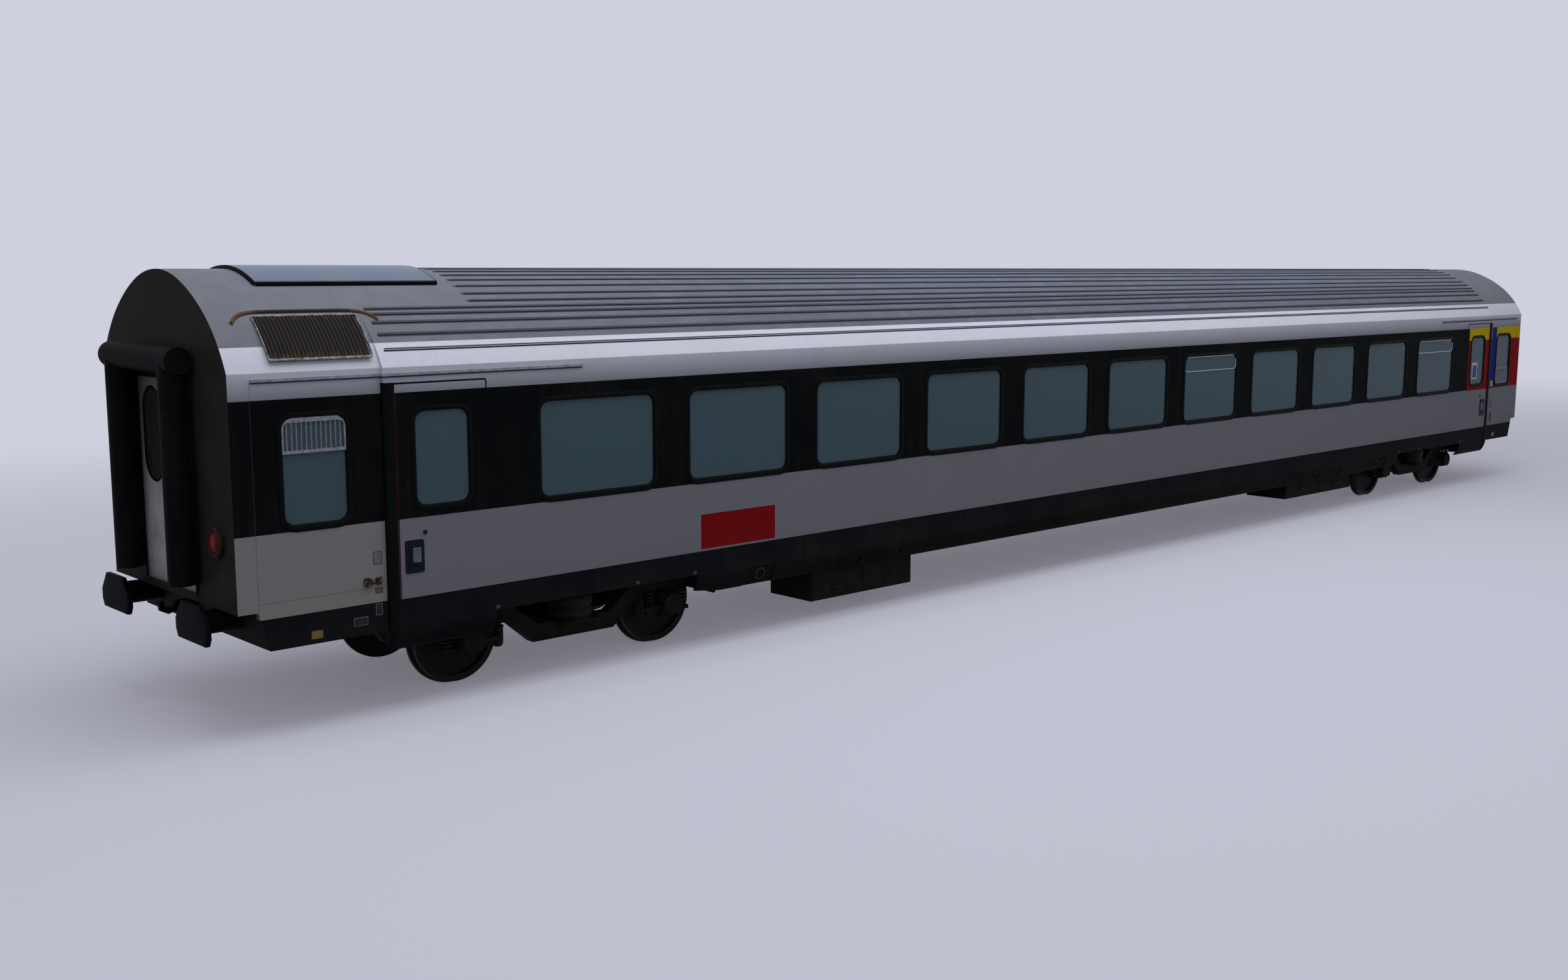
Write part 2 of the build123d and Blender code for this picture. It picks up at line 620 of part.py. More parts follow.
def axle_box():
    """Axle box of the -Y side at +X of a bogie, with spring wings and a round cover."""
    x = WHEELBASE / 2
    y0, y1 = BOX_Y
    body = block(x - BOX_W / 2, x + BOX_W / 2, -y1, -y0, WHEEL_R - BOX_H / 2, WHEEL_R + BOX_H / 2)
    reach = SPRING_X + SPRING_R
    body += block(x - reach, x + reach, -BEAM_Y - BEAM_W / 2, -BEAM_Y + BEAM_W / 2,
                  SPRING_FOOT_Z - WING_T, SPRING_FOOT_Z)
    body += across(Pos(x, WHEEL_R) * Circle(COVER_R), -y1 - COVER_T, -y1)
    end = JOURNAL_Y + BEARING_GAP
    return body - across(Pos(x, WHEEL_R) * Circle(AXLE_R + RUNNING_GAP), -end, -y0)


def primary_springs():
    """Coil springs between an axle box's wings and the side beam, -Y side at +X."""
    height = BEAM_END_Z - SPRING_FOOT_Z
    rod = Cylinder(SPRING_R, height, align=(Align.CENTER, Align.CENTER, Align.MIN))
    places = [WHEELBASE / 2 + s * SPRING_X for s in (-1, 1)]
    return [Pos(x, -BEAM_Y, SPRING_FOOT_Z) * rod for x in places]


def air_spring():
    """Bellows on the -Y side beam, up to the pad under the body: two rolls and a waist."""
    top = SEAT_Z - BEARING_GAP
    low = (BEAM_SEAT_Z + top - WAIST_H) / 2
    high = low + WAIST_H
    profile = polygon((0, BEAM_SEAT_Z), (AIR_SPRING_R, BEAM_SEAT_Z), (AIR_SPRING_R, low), (WAIST_R, low),
                      (WAIST_R, high), (AIR_SPRING_R, high), (AIR_SPRING_R, top), (0, top))
    return Pos(0, -BEAM_Y, 0) * revolve(Plane.XZ * profile, Axis.Z)


def brake_unit():
    """Caliper fork round the brake disc at +X, -Y, carried by the transom."""
    x0 = TRANSOM_HALF - 60
    x1 = WHEELBASE / 2 - DISC_R - 40
    x2 = WHEELBASE / 2 - 110
    inner = DISC_T / 2 + JAW_GAP
    outer = inner + JAW_T
    z0, z1 = WHEEL_R - JAW_H / 2, WHEEL_R + JAW_H / 2
    fork = block(x0, x1, -DISC_Y - outer, -DISC_Y + outer, z0, z1)
    for s in (-1, 1):
        y = -DISC_Y + s * (inner + outer) / 2
        fork += block(x0, x2, y - JAW_T / 2, y + JAW_T / 2, z0, z1)
    return fork


def wheelset():
    """Axle, brake discs and flanged wheels, turned as one about the Y axis."""
    d0, d1 = DISC_Y - DISC_T / 2, DISC_Y + DISC_T / 2
    back = FLANGE_BACK_Y
    face = back + RIM_W
    web = face - WEB_INSET
    half = [  # distance from the middle, radius
        (d0, AXLE_R), (d0, DISC_R), (d1, DISC_R), (d1, AXLE_R),
        (back, AXLE_R), (back, WHEEL_R + FLANGE), (back + FLANGE_W, WHEEL_R + FLANGE),
        (back + FLANGE_W, WHEEL_R), (face, WHEEL_R), (face, WHEEL_R - RIM_T), (web, WHEEL_R - RIM_T),
        (web, AXLE_R), (JOURNAL_Y, AXLE_R)]
    other = [(-y, r) for y, r in reversed(half)]
    profile = polygon((-JOURNAL_Y, 0), *other, *half, (JOURNAL_Y, 0))
    plane = Plane(origin=(0, 0, 0), x_dir=(0, 1, 0), z_dir=(1, 0, 0))
    return revolve(plane * profile, Axis.Y)


def underfloor_boxes():
    """Battery and converter boxes hung under the floor beams."""
    top = FRAME_TOP_Z - SILL_DEPTH + CROSS_T
    y0, y1 = BOX_REACH
    boxes = []
    for x0, x1, side, z0 in BOXES:
        box = block(x0 * SKIRT_HALF, x1 * SKIRT_HALF, y0, y1, z0, top)
        boxes.append(box if side > 0 else mirror(box, Plane.XZ))
    return boxes


def air_tanks():
    """Two brake air tanks lying across under the middle of the floor."""
    z = FRAME_TOP_Z - CROSS_T - TANK_R
    return [across(Pos(s * TANK_X, z) * Circle(TANK_R), -TANK_HALF, TANK_HALF) for s in (-1, 1)]


NODES = {}


def add(name, *solids):
    """Files solids under a node's name."""
    NODES.setdefault(name, []).extend(solids)


wall = side_wall()
add("side_wall_right", wall)
add("side_wall_left", mirror(wall, Plane.XZ))
panes = side_panes()
add("window_panes_right", *panes.solids())
add("window_panes_left", *mirror(panes, Plane.XZ).solids())
for panel in skirt():
    add("skirt_right", panel)
    add("skirt_left", mirror(panel, Plane.XZ))
leaf, glass = entry_door()
for end, turn_x in (("far", False), ("near", True)):
    for side, turn_y in (("right", False), ("left", True)):
        for kind, solid in (("entry_door", leaf), ("entry_door_glass", glass)):
            solid = mirror(solid, Plane.YZ) if turn_x else solid
            solid = mirror(solid, Plane.XZ) if turn_y else solid
            name = "entry_door_glass" if kind == "entry_door_glass" else f"{kind}_{end}_{side}"
            add(name, solid)
add("roof", roof())
leaf, pane = end_leaf()
for end, flip in (("far", False), ("near", True)):
    for name, solids in (
            (f"end_wall_{end}", [end_wall()]), (f"end_door_{end}_left", [leaf]),
            (f"end_door_{end}_right", [mirror(leaf, Plane.XZ)]), (f"end_door_glass_{end}_left", [pane]),
            (f"end_door_glass_{end}_right", [mirror(pane, Plane.XZ)]), ("end_door_tracks", [end_track()]),
            (f"gangway_{end}", [gangway()]), ("buffers", [buffer(-1), buffer(1)]),
            ("drawhooks", [drawhook()]), ("tail_lamps", [tail_lamp(-1), tail_lamp(1)]),
            ("partitions", [partition()])):
        add(name, *[mirror(s, Plane.YZ) if flip else s for s in solids])
add("floor", floor())
for piece, name in ((entry_steps(), "entry_steps"), (gutter(), "door_gutters")):
    for p in (piece, mirror(piece, Plane.YZ)):
        add(name, p, mirror(p, Plane.XZ))
frame = underframe()
add("underframe", frame)
for name in ("buffers", "drawhooks"):
    NODES[name] = [s - frame for s in NODES[name]]
add("roof_hatch", roof_hatch())
add("roof_louvre", louvre())
add("ceiling", ceiling())
seat_wall = INNER_W - SEAT_WALL_GAP
add("seats_right", *seats(-seat_wall, 2 * SEAT_W - seat_wall))
add("seats_left", *seats(seat_wall - SEAT_W, seat_wall))
rack = luggage_rack()
add("luggage_racks", rack, mirror(rack, Plane.XZ))
add("underfloor_boxes", *underfloor_boxes())
add("air_tanks", *air_tanks())

for end, x in (("near", -BOGIE_X), ("far", BOGIE_X)):
    here = Pos(x, 0, 0)
    add(f"bogie_frame_{end}", here * bogie_frame())
    box = axle_box()
    for p in (box, mirror(box, Plane.YZ)):
        add(f"axle_boxes_{end}", here * p, here * mirror(p, Plane.XZ))
    for spring in primary_springs():
        for p in (spring, mirror(spring, Plane.YZ)):
            add(f"primary_springs_{end}", here * p, here * mirror(p, Plane.XZ))
    bellows = air_spring()
    add(f"air_springs_{end}", here * bellows, here * mirror(bellows, Plane.XZ))
    fork = brake_unit()
    for p in (fork, mirror(fork, Plane.YZ)):
        add(f"brake_units_{end}", here * p, here * mirror(p, Plane.XZ))

for i, x in enumerate(WHEEL_X, 1):
    add(f"wheelset_{i}", Pos(x, 0, WHEEL_R) * wheelset())

os.makedirs("parts", exist_ok=True)
for name, pieces in NODES.items():
    solids = [s for piece in pieces for s in piece.solids()]
    lifted = [Pos(0, 0, FLANGE) * s for s in solids]
    export_step(Compound(children=lifted) if len(lifted) > 1 else lifted[0], f"parts/{name}.step")
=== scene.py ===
import math

import bmesh
import bpy
import numpy as np
from mathutils import Euler, Matrix, Vector


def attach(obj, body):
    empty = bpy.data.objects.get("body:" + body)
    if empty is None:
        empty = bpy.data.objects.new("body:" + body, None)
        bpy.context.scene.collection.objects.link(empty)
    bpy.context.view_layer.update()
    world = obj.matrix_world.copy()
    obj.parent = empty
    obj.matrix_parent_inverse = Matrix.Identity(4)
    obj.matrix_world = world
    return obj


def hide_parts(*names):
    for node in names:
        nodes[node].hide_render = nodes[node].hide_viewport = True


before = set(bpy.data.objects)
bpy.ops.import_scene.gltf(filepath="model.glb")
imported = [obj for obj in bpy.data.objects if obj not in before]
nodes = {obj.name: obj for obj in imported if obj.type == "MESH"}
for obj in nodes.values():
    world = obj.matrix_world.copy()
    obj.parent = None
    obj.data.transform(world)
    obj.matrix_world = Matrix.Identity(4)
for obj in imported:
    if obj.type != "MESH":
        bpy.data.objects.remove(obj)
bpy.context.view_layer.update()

# The photographer's place: a little above roof height, off the near left corner of the
# coach, looking along its side. The lens is that of the photograph, level to a twentieth
# of a degree. Heights above the rail become scene heights by the depth of a wheel flange.
RAIL = 0.028

scene = bpy.context.scene
lens = bpy.data.cameras.new("camera")
lens.lens = 35.76
lens.sensor_width = 36.0
lens.clip_end = 2000.0
camera = bpy.data.objects.new("camera", lens)
turn = Euler((math.radians(90 - 8.0919), 0, -math.radians(43.1934))).to_matrix()
turn = turn @ Matrix.Rotation(math.radians(0.053), 3, "Z")
camera.matrix_world = Matrix.Translation((-18.6892, -14.0088, 4.0564 + RAIL)) @ turn.to_4x4()
scene.collection.objects.link(camera)
scene.camera = camera
scene.view_settings.view_transform = "Standard"


# A pale photographic studio: a matt lilac-white floor that runs out into a backdrop of its
# own colour, an even sky of soft light, a wide lamp overhead and a weak one on the side.
def srgb(code):
    """Linear colour of an sRGB hex code such as #8A8B8D."""
    part = np.array([int(code[i:i + 2], 16) / 255 for i in (1, 3, 5)])
    linear = np.where(part <= 0.04045, part / 12.92, ((part + 0.055) / 1.055) ** 2.4)
    return (*linear.tolist(), 1.0)


def node(tree, kind, inputs=None, **settings):
    """Adds a shader node with its settings, and sets or links its input sockets."""
    new = tree.nodes.new("ShaderNode" + kind)
    for name, value in settings.items():
        setattr(new, name, value)
    for key, value in (inputs or {}).items():
        if isinstance(value, bpy.types.NodeSocket):
            tree.links.new(value, new.inputs[key])
        else:
            new.inputs[key].default_value = value
    return new


PALE = "#CFD0DE"
world = bpy.data.worlds.new("studio")
world.use_nodes = True
scene.world = world
tree = world.node_tree
tree.nodes.clear()
path = node(tree, "LightPath")
seen = node(tree, "Math", {0: path.outputs["Is Camera Ray"], 1: path.outputs["Is Glossy Ray"]}, operation="MAXIMUM")
seen = node(tree, "Math", {0: seen.outputs[0], 1: path.outputs["Is Transmission Ray"]}, operation="MAXIMUM")
lit = node(tree, "Background", {"Color": srgb("#F2F3FA"), "Strength": 0.50})
shown = node(tree, "Background", {"Color": srgb(PALE), "Strength": 1.0})
both = node(tree, "MixShader", {0: seen.outputs[0], 1: lit.outputs[0], 2: shown.outputs[0]})
node(tree, "OutputWorld", {0: both.outputs[0]})

floor_mat = bpy.data.materials.new("studio_floor")
floor_mat.use_nodes = True
tree = floor_mat.node_tree
tree.nodes.clear()
place = node(tree, "TexCoord").outputs["Object"]
# The floor turns to backdrop round an oval that is twice as long as it is wide.
place = node(tree, "Mapping", {"Vector": place, "Scale": (0.5, 1.0, 1.0)}).outputs[0]
reach = node(tree, "VectorMath", {0: place}, operation="LENGTH")
fade = node(tree, "MapRange", {0: reach.outputs["Value"], 1: 5.0, 2: 26.0, 3: 0.25, 4: 1.0},
            interpolation_type="SMOOTHSTEP")
matt = node(tree, "BsdfDiffuse", {"Color": srgb("#C6C6D2")})
glow = node(tree, "Emission", {"Color": srgb(PALE), "Strength": 1.0})
both = node(tree, "MixShader", {0: fade.outputs[0], 1: matt.outputs[0], 2: glow.outputs[0]})
path = node(tree, "LightPath")
seen = node(tree, "Math", {0: path.outputs["Is Camera Ray"], 1: path.outputs["Is Glossy Ray"]}, operation="MAXIMUM")
seen = node(tree, "Math", {0: seen.outputs[0], 1: path.outputs["Is Transmission Ray"]}, operation="MAXIMUM")
dim = node(tree, "BsdfDiffuse", {"Color": srgb("#5A5A60")})
both = node(tree, "MixShader", {0: seen.outputs[0], 1: dim.outputs[0], 2: both.outputs[0]})
node(tree, "OutputMaterial", {0: both.outputs[0]})
bpy.ops.mesh.primitive_circle_add(vertices=96, radius=900.0, fill_type="NGON", location=(0, 0, 0))
floor = bpy.context.object
floor.name = "studio_floor"
floor.data.materials.append(floor_mat)

for name, place, aim, size, power in (
        ("overhead", (-3.5, -4.0, 16.0), (-3.5, 0.0, 3.0), (30.0, 12.0), 2250.0),
        ("side_fill", (-12.0, -26.0, 9.0), (0.0, 0.0, 2.0), (26.0, 10.0), 160.0)):
    lamp = bpy.data.lights.new(name, "AREA")
    lamp.shape = "RECTANGLE"
    lamp.size, lamp.size_y = size
    lamp.energy = power
    lamp.color = srgb("#FBFAFF")[:3]
    stand = bpy.data.objects.new(name, lamp)
    stand.location = place
    stand.rotation_euler = (Vector(aim) - Vector(place)).to_track_quat("-Z", "Y").to_euler()
    scene.collection.objects.link(stand)


# Side walls, doors, skirts and roof: steel sheet in satin two-pack enamel. The livery is
# masked by height above the rail and by place along the coach. Rain carries brake dust down
# it in faint streaks, and the sheet waves a little between its frames.
def finish(name, colour, roughness, metallic=0.0):
    """Starts a material, with its plain values on the shader's own sockets."""
    made = bpy.data.materials.new(name)
    made.use_nodes = True
    shader = made.node_tree.nodes["Principled BSDF"]
    shader.inputs["Base Color"].default_value = srgb(colour)
    shader.inputs["Roughness"].default_value = roughness
    shader.inputs["Metallic"].default_value = metallic
    return made, made.node_tree, shader


def wear(names, made):
    """Gives CAD nodes a material; a name ending in * stands for all nodes that begin so."""
    for name in names:
        stem = name.rstrip("*")
        for key, piece in nodes.items():
            if key == name or name.endswith("*") and key.startswith(stem):
                piece.data.materials.clear()
                piece.data.materials.append(made)


def inside(tree, value, low, high):
    """Mask that is 1 where a value lies between two limits."""
    return node(tree, "Math", {0: value, 1: (low + high) / 2, 2: (high - low) / 2}, operation="COMPARE").outputs[0]


def both_true(tree, *masks):
    """Mask that is 1 where all the masks are."""
    result = masks[0]
    for mask in masks[1:]:
        result = node(tree, "Math", {0: result, 1: mask}, operation="MULTIPLY").outputs[0]
    return result


def over(tree, colour, mask, coat):
    """Lays a coat of colour over another where the mask is 1."""
    return node(tree, "Mix", {0: mask, 6: colour, 7: srgb(coat) if isinstance(coat, str) else coat},
                data_type="RGBA").outputs[2]


STRIPES = (  # coat, lowest and highest x, lowest and highest height above the rail
    ("#8A8889", -14.0, -11.68, 1.052, 1.790),  # end field, repainted in a warmer grey
    ("#8D8A86", -13.01, -11.79, 1.052, 1.186),  # its foot, yellowed by brake dust
    ("#101214", -14.0, 14.0, 1.790, 2.945),    # black window band
    ("#8B8E98", -14.0, 14.0, 2.945, 3.178),    # white cantrail, painted in shade and darker towards its foot
    ("#D0D1DD", -14.0, 14.0, 3.178, 3.390),    # white shoulder
    ("#74777F", -14.0, 14.0, 3.390, 5.000),    # grey roof
    ("#8A1014", 10.80, 13.21, 1.780, 2.720),   # red end field
    ("#C6A90C", 10.80, 13.21, 2.720, 2.945),   # yellow first class stripe
    ("#123078", 11.90, 12.11, 1.770, 2.945),   # blue strip
    ("#0F151B", -14.0, 14.0, 0.000, 1.052),    # blue-black skirt
    ("#0F0F10", -7.423, -6.992, 0.0, 0.780),   # grimed flap
    ("#0F0F10", -6.770, 6.800, 0.0, 0.782),    # grimed lower skirt
    ("#0F0F10", 6.959, 7.691, 0.0, 0.780),     # grimed flap
    ("#7E1216", -8.080, -7.000, 1.073, 1.449),   # plain red panel
    ("#3F1518", -11.672, -11.661, 1.05, 2.945))  # red line along the near door's post
enamel, tree, shader = finish("two_pack_enamel", "#787981", 0.42)
shader.inputs["Specular IOR Level"].default_value = 0.005
place = node(tree, "TexCoord").outputs["Object"]
axes = node(tree, "SeparateXYZ", {0: place}).outputs
colour = srgb("#787981")
for coat, x0, x1, z0, z1 in STRIPES:
    mask = inside(tree, axes[2], z0 + RAIL, z1 + RAIL)
    if x1 - x0 < 28:
        mask = both_true(tree, mask, inside(tree, axes[0], x0, x1))
    colour = over(tree, colour, mask, coat)
# Painted light: the upright white cantrail is painted as in shade, grading lighter up to the shoulder.
painted_cantrail_light = node(tree, "MapRange", {0: axes[2], 1: 2.955 + RAIL, 2: 3.178 + RAIL}).outputs[0]
colour = over(tree, colour, both_true(tree, painted_cantrail_light, inside(tree, axes[2], 2.945 + RAIL, 3.178 + RAIL)), "#C8CBD8")
# Panel joints, drawn 6 mm wide: near the ends, and along the foot of the end fields. Dirt
# darkens them on the pale coats and dust lightens them on the black.
for x0, x1, z0, z1 in ((-13.013, -13.007, 1.06, 3.10), (13.007, 13.013, 1.06, 3.10),
                       (-13.01, -11.80, 1.186, 1.192), (11.80, 13.01, 1.186, 1.192)):
    joint = both_true(tree, inside(tree, axes[0], x0, x1), inside(tree, axes[2], z0 + RAIL, z1 + RAIL))
    colour = over(tree, colour, node(tree, "Math", {0: joint, 1: 0.55}, operation="MULTIPLY").outputs[0], "#45444A")
# Painted shadow: a dark line under the drip rails.
for x0, x1 in ((-13.0, -9.6), (9.6, 13.0)):
    colour = over(tree, colour, both_true(tree, inside(tree, axes[0], x0, x1),
                                          inside(tree, axes[2], 3.084 + RAIL, 3.100 + RAIL)), "#54555D")
# The middle of the roof has weathered darker and bluer than its ends. Painted shade lies along its ribs: on the lower
# half of each and 8 mm below it.
RIBS = (0.0885, 0.1982, 0.2938, 0.3788, 0.4673, 0.5572, 0.6287, 0.6867, 0.7278, 0.7844, 0.8538, 0.9281)
flank = node(tree, "Math", {0: axes[1]}, operation="ABSOLUTE").outputs[0]
over_roof = node(tree, "Math", {0: axes[2], 1: 3.39 + RAIL}, operation="GREATER_THAN").outputs[0]
away = node(tree, "Math", {0: axes[0]}, operation="ABSOLUTE").outputs[0]
away = node(tree, "MapRange", {0: away, 1: 12.0, 2: 7.0}).outputs[0]
colour = over(tree, colour, both_true(tree, over_roof, away), "#666D7A")
# Its grey has chalked in patches 100 to 300 mm across.
patches = node(tree, "TexNoise", {"Vector": place, "Scale": 3.5, "Detail": 7.0, "Roughness": 0.65}).outputs[0]
patches = node(tree, "MapRange", {0: patches, 1: 0.45, 2: 0.7, 4: 0.3}).outputs[0]
colour = over(tree, colour, both_true(tree, over_roof, patches), "#8A8C95")
over_roof = node(tree, "Math", {0: axes[2], 1: 3.19 + RAIL}, operation="GREATER_THAN").outputs[0]
# Painted shade along the lower side of each rib.
for share in RIBS:
    start = -10.55 if share < 0.65 else -11.71
    low, high = (0.004, 0.014) if share > 0.9 else (-0.002, 0.020)
    line = both_true(tree, over_roof, inside(tree, axes[0], start, 11.76),
                     inside(tree, flank, 1.4125 * share + low, 1.4125 * share + high))
    colour = over(tree, colour, line, "#4E4F58")
# Rain streaks: noise drawn out downwards, about 60 mm wide and a metre long.
stretch = node(tree, "Mapping", {"Vector": place, "Scale": (16.0, 16.0, 0.9)}).outputs[0]
streaks = node(tree, "TexNoise", {"Vector": stretch, "Scale": 1.0, "Detail": 4.0, "Roughness": 0.6}).outputs[0]
clouds = node(tree, "TexNoise", {"Vector": place, "Scale": 1.3, "Detail": 5.0, "Roughness": 0.62}).outputs[0]
dirt = node(tree, "Math", {0: streaks, 1: clouds}, operation="MULTIPLY").outputs[0]
dirt = node(tree, "MapRange", {0: dirt, 1: 0.20, 2: 0.45, 3: 0.0, 4: 0.06}).outputs[0]
colour = over(tree, colour, dirt, "#5B544C")
# The lowest 300 mm carry a film of rust-brown brake dust.
low = node(tree, "MapRange", {0: axes[2], 1: 0.60, 2: 1.35, 3: 0.30, 4: 0.0}).outputs[0]
colour = over(tree, colour, node(tree, "Math", {0: low, 1: clouds}, operation="MULTIPLY").outputs[0], "#4A3F35")
# Indoors the walls are lined, and so are the backs of the entry doors.
lining = node(tree, "Math", {0: flank, 1: 1.325}, operation="LESS_THAN").outputs[0]
along = node(tree, "Math", {0: axes[0]}, operation="ABSOLUTE").outputs[0]
door_back = both_true(tree, inside(tree, flank, 1.0, 1.369), inside(tree, along, 10.70, 11.69))
lining = node(tree, "Math", {0: lining, 1: door_back}, operation="MAXIMUM").outputs[0]
lining = both_true(tree, lining, inside(tree, axes[2], 1.15, 3.2))
colour = over(tree, colour, lining, "#B9B4A6")
# The end faces wear years of brake dust from the couplers over the same enamel.
outer = node(tree, "Math", {0: along, 1: 13.1995}, operation="GREATER_THAN").outputs[0]
end_grime = over(tree, srgb("#2B2A2B"), node(tree, "MapRange", {0: clouds, 1: 0.35, 2: 0.7}).outputs[0], "#36322F")
colour = over(tree, colour, outer, end_grime)
tree.links.new(colour, shader.inputs["Base Color"])
rough = node(tree, "MapRange", {0: clouds, 1: 0.3, 2: 0.7, 3: 0.30, 4: 0.50})
tree.links.new(rough.outputs[0], shader.inputs["Roughness"])
waves = node(tree, "TexNoise", {"Vector": place, "Scale": 0.9, "Detail": 1.0}).outputs[0]
bump = node(tree, "Bump", {"Height": waves, "Distance": 0.006, "Strength": 0.5})
tree.links.new(bump.outputs[0], shader.inputs["Normal"])
wear(["side_wall_*", "entry_door_far_*", "entry_door_near_*", "skirt_*", "roof", "end_wall_*"], enamel)

# Drip rails: rolled steel angles welded over the doors, in the white of the cantrail and
# specked with soot.
rail_paint, tree, shader = finish("drip_rail_enamel", "#9FA0AA", 0.5)
shader.inputs["Specular IOR Level"].default_value = 0.1
place = node(tree, "TexCoord").outputs["Object"]
specks = node(tree, "TexNoise", {"Vector": place, "Scale": 12.0, "Detail": 5.0}).outputs[0]
tree.links.new(over(tree, srgb("#9FA0AA"), node(tree, "MapRange", {0: specks, 1: 0.4, 2: 0.7}).outputs[0], "#7C7D86"),
               shader.inputs["Base Color"])
wear(["door_gutters"], rail_paint)

# Window panes: double glazing of grey-green solar glass in toughened panes. From outside
# it looks a dense slate blue, with the seats behind it only as shadows.
glazing, tree, shader = finish("solar_glass", "#4A6570", 0.08)
shader.inputs["Transmission Weight"].default_value = 0.35
shader.inputs["IOR"].default_value = 1.5
shader.inputs["Specular IOR Level"].default_value = 0.012
place = node(tree, "TexCoord").outputs["Object"]
ripple = node(tree, "TexNoise", {"Vector": place, "Scale": 0.8, "Detail": 1.0}).outputs[0]
bump = node(tree, "Bump", {"Height": ripple, "Distance": 0.004, "Strength": 0.25})
tree.links.new(bump.outputs[0], shader.inputs["Normal"])
wear(["window_panes_*", "entry_door_glass"], glazing)
smoked, tree, shader = finish("grimed_end_glass", "#343539", 0.15)
shader.inputs["Transmission Weight"].default_value = 0.25
shader.inputs["Specular IOR Level"].default_value = 0.12
place = node(tree, "TexCoord").outputs["Object"]
film = node(tree, "TexNoise", {"Vector": place, "Scale": 5.0, "Detail": 6.0, "Roughness": 0.65}).outputs[0]
tree.links.new(over(tree, srgb("#343539"), node(tree, "MapRange", {0: film, 1: 0.4, 2: 0.75}).outputs[0], "#4A4845"),
               shader.inputs["Base Color"])
wear(["end_door_glass_*"], smoked)

# Window rubbers: black extruded gaskets that clip the panes into the sheet. Each is one
# length of profile carried round the opening and vulcanised at its corners, wider along
# the foot, where it also sheds the rain.
def surface(name, grids, made, ring=False, closed=False):
    """Piece over stacks of point grids (copies, rows, columns, xyz): every cell is a quad.
    ring joins the last column to the first, closed the last row to the first."""
    grids = np.asarray(grids, float)
    if grids.ndim == 3:
        grids = grids[None]
    copies, rows, columns, _ = grids.shape
    i = np.arange(rows if closed else rows - 1)[:, None]
    j = np.arange(columns if ring else columns - 1)[None, :]
    down, right = (i + 1) % rows, (j + 1) % columns
    cells = np.stack(np.broadcast_arrays(i * columns + j, i * columns + right,
                                         down * columns + right, down * columns + j), -1)
    faces = cells.reshape(1, -1, 4) + (np.arange(copies) * rows * columns)[:, None, None]
    mesh = bpy.data.meshes.new(name)
    mesh.from_pydata(grids.reshape(-1, 3).tolist(), [], faces.reshape(-1, 4).tolist())
    work = bmesh.new()
    work.from_mesh(mesh)
    bmesh.ops.remove_doubles(work, verts=work.verts, dist=1e-6)
    bmesh.ops.recalc_face_normals(work, faces=work.faces)
    work.to_mesh(mesh)
    work.free()
    mesh.polygons.foreach_set("use_smooth", np.ones(len(mesh.polygons), bool))
    mesh.set_sharp_from_angle(angle=math.radians(34))
    mesh.materials.append(made)
    piece = bpy.data.objects.new(name, mesh)
    scene.collection.objects.link(piece)
    return piece


def corner_path(width, height, radius, steps=6):
    """Rounded rectangle about its middle: each corner's centre plus the radius times a
    quarter turn of directions. Returns the points and the directions out of them."""
    angle = (np.linspace(0, np.pi / 2, steps)[None] + np.arange(4)[:, None] * np.pi / 2).ravel()
    corner = np.repeat([[1, 1], [-1, 1], [-1, -1], [1, -1]], steps, 0)
    out = np.stack([np.cos(angle), np.sin(angle)], -1)
    return corner * (np.array([width, height]) / 2 - radius) + radius * out, out


def moulding(x, z0, z1, width, radius, profile, heavy_foot=0.0):
    """Carries a profile of (outwards, proud) round a rounded rectangle in the plane (x, z).
    Returns rows of (x, proud, z); the foot's profile is widened by the share given."""
    path, out = corner_path(width, z1 - z0, radius)
    profile = np.asarray(profile, float)
    wide = 1 + heavy_foot * np.clip(-out[:, 1], 0, 1)
    flat = path[None] + profile[:, None, :1] * wide[None, :, None] * out[None]
    proud = np.broadcast_to(profile[:, 1:2], flat.shape[:2])
    return np.stack([x + flat[..., 0], proud, (z0 + z1) / 2 + RAIL + flat[..., 1]], -1)


def tuck(z):
    """How far the skin lies in below the sill: an arc of 346 mm that starts upright there."""
    drop = np.clip(0.80 + RAIL - z, 0, 0.23)
    return 0.346 - np.sqrt(0.346 ** 2 - drop ** 2)


def on_side(grid, side, half_width):
    """Lays rows of (x, proud, z) on the skin of one side: y is the skin plus proud."""
    x, proud, z = np.moveaxis(grid, -1, 0)
    return np.stack([x, side * (half_width - tuck(z) + proud), z], -1)


MAIN, END = 1.4125, 1.375      # half widths of the saloon and of the end sections
SALOON = 1.881 * np.arange(-5, 6)
panes = [(x, 1.84, 2.78, 1.40, MAIN) for x in SALOON]
panes += [(x, 1.84, 2.78, 0.60, END) for x in (-12.44, 12.44)]
panes += [(x, 1.895, 2.77, 0.56, MAIN) for x in (-11.195, 11.195)]
gasket = [(-0.006, -0.0135), (-0.004, 0.001), (0.004, 0.008), (0.016, 0.011), (0.032, 0.010), (0.043, 0.005),
          (0.046, -0.001)]
rubber, tree, shader = finish("epdm_rubber", "#0D0E0F", 0.5)
shader.inputs["Specular IOR Level"].default_value = 0.03
place = node(tree, "TexCoord").outputs["Object"]
bloom = node(tree, "TexNoise", {"Vector": place, "Scale": 7.0, "Detail": 5.0}).outputs[0]
shade = over(tree, srgb("#0D0E0F"), node(tree, "MapRange", {0: bloom, 1: 0.45, 2: 0.8, 4: 0.6}).outputs[0], "#16171A")
tree.links.new(shade, shader.inputs["Base Color"])
grids = [on_side(moulding(x, z0, z1, w, 0.10, gasket, 0.30), side, half)
         for x, z0, z1, w, half in panes for side in (-1, 1)]
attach(surface("window_rubbers", grids, rubber, ring=True), "carbody")

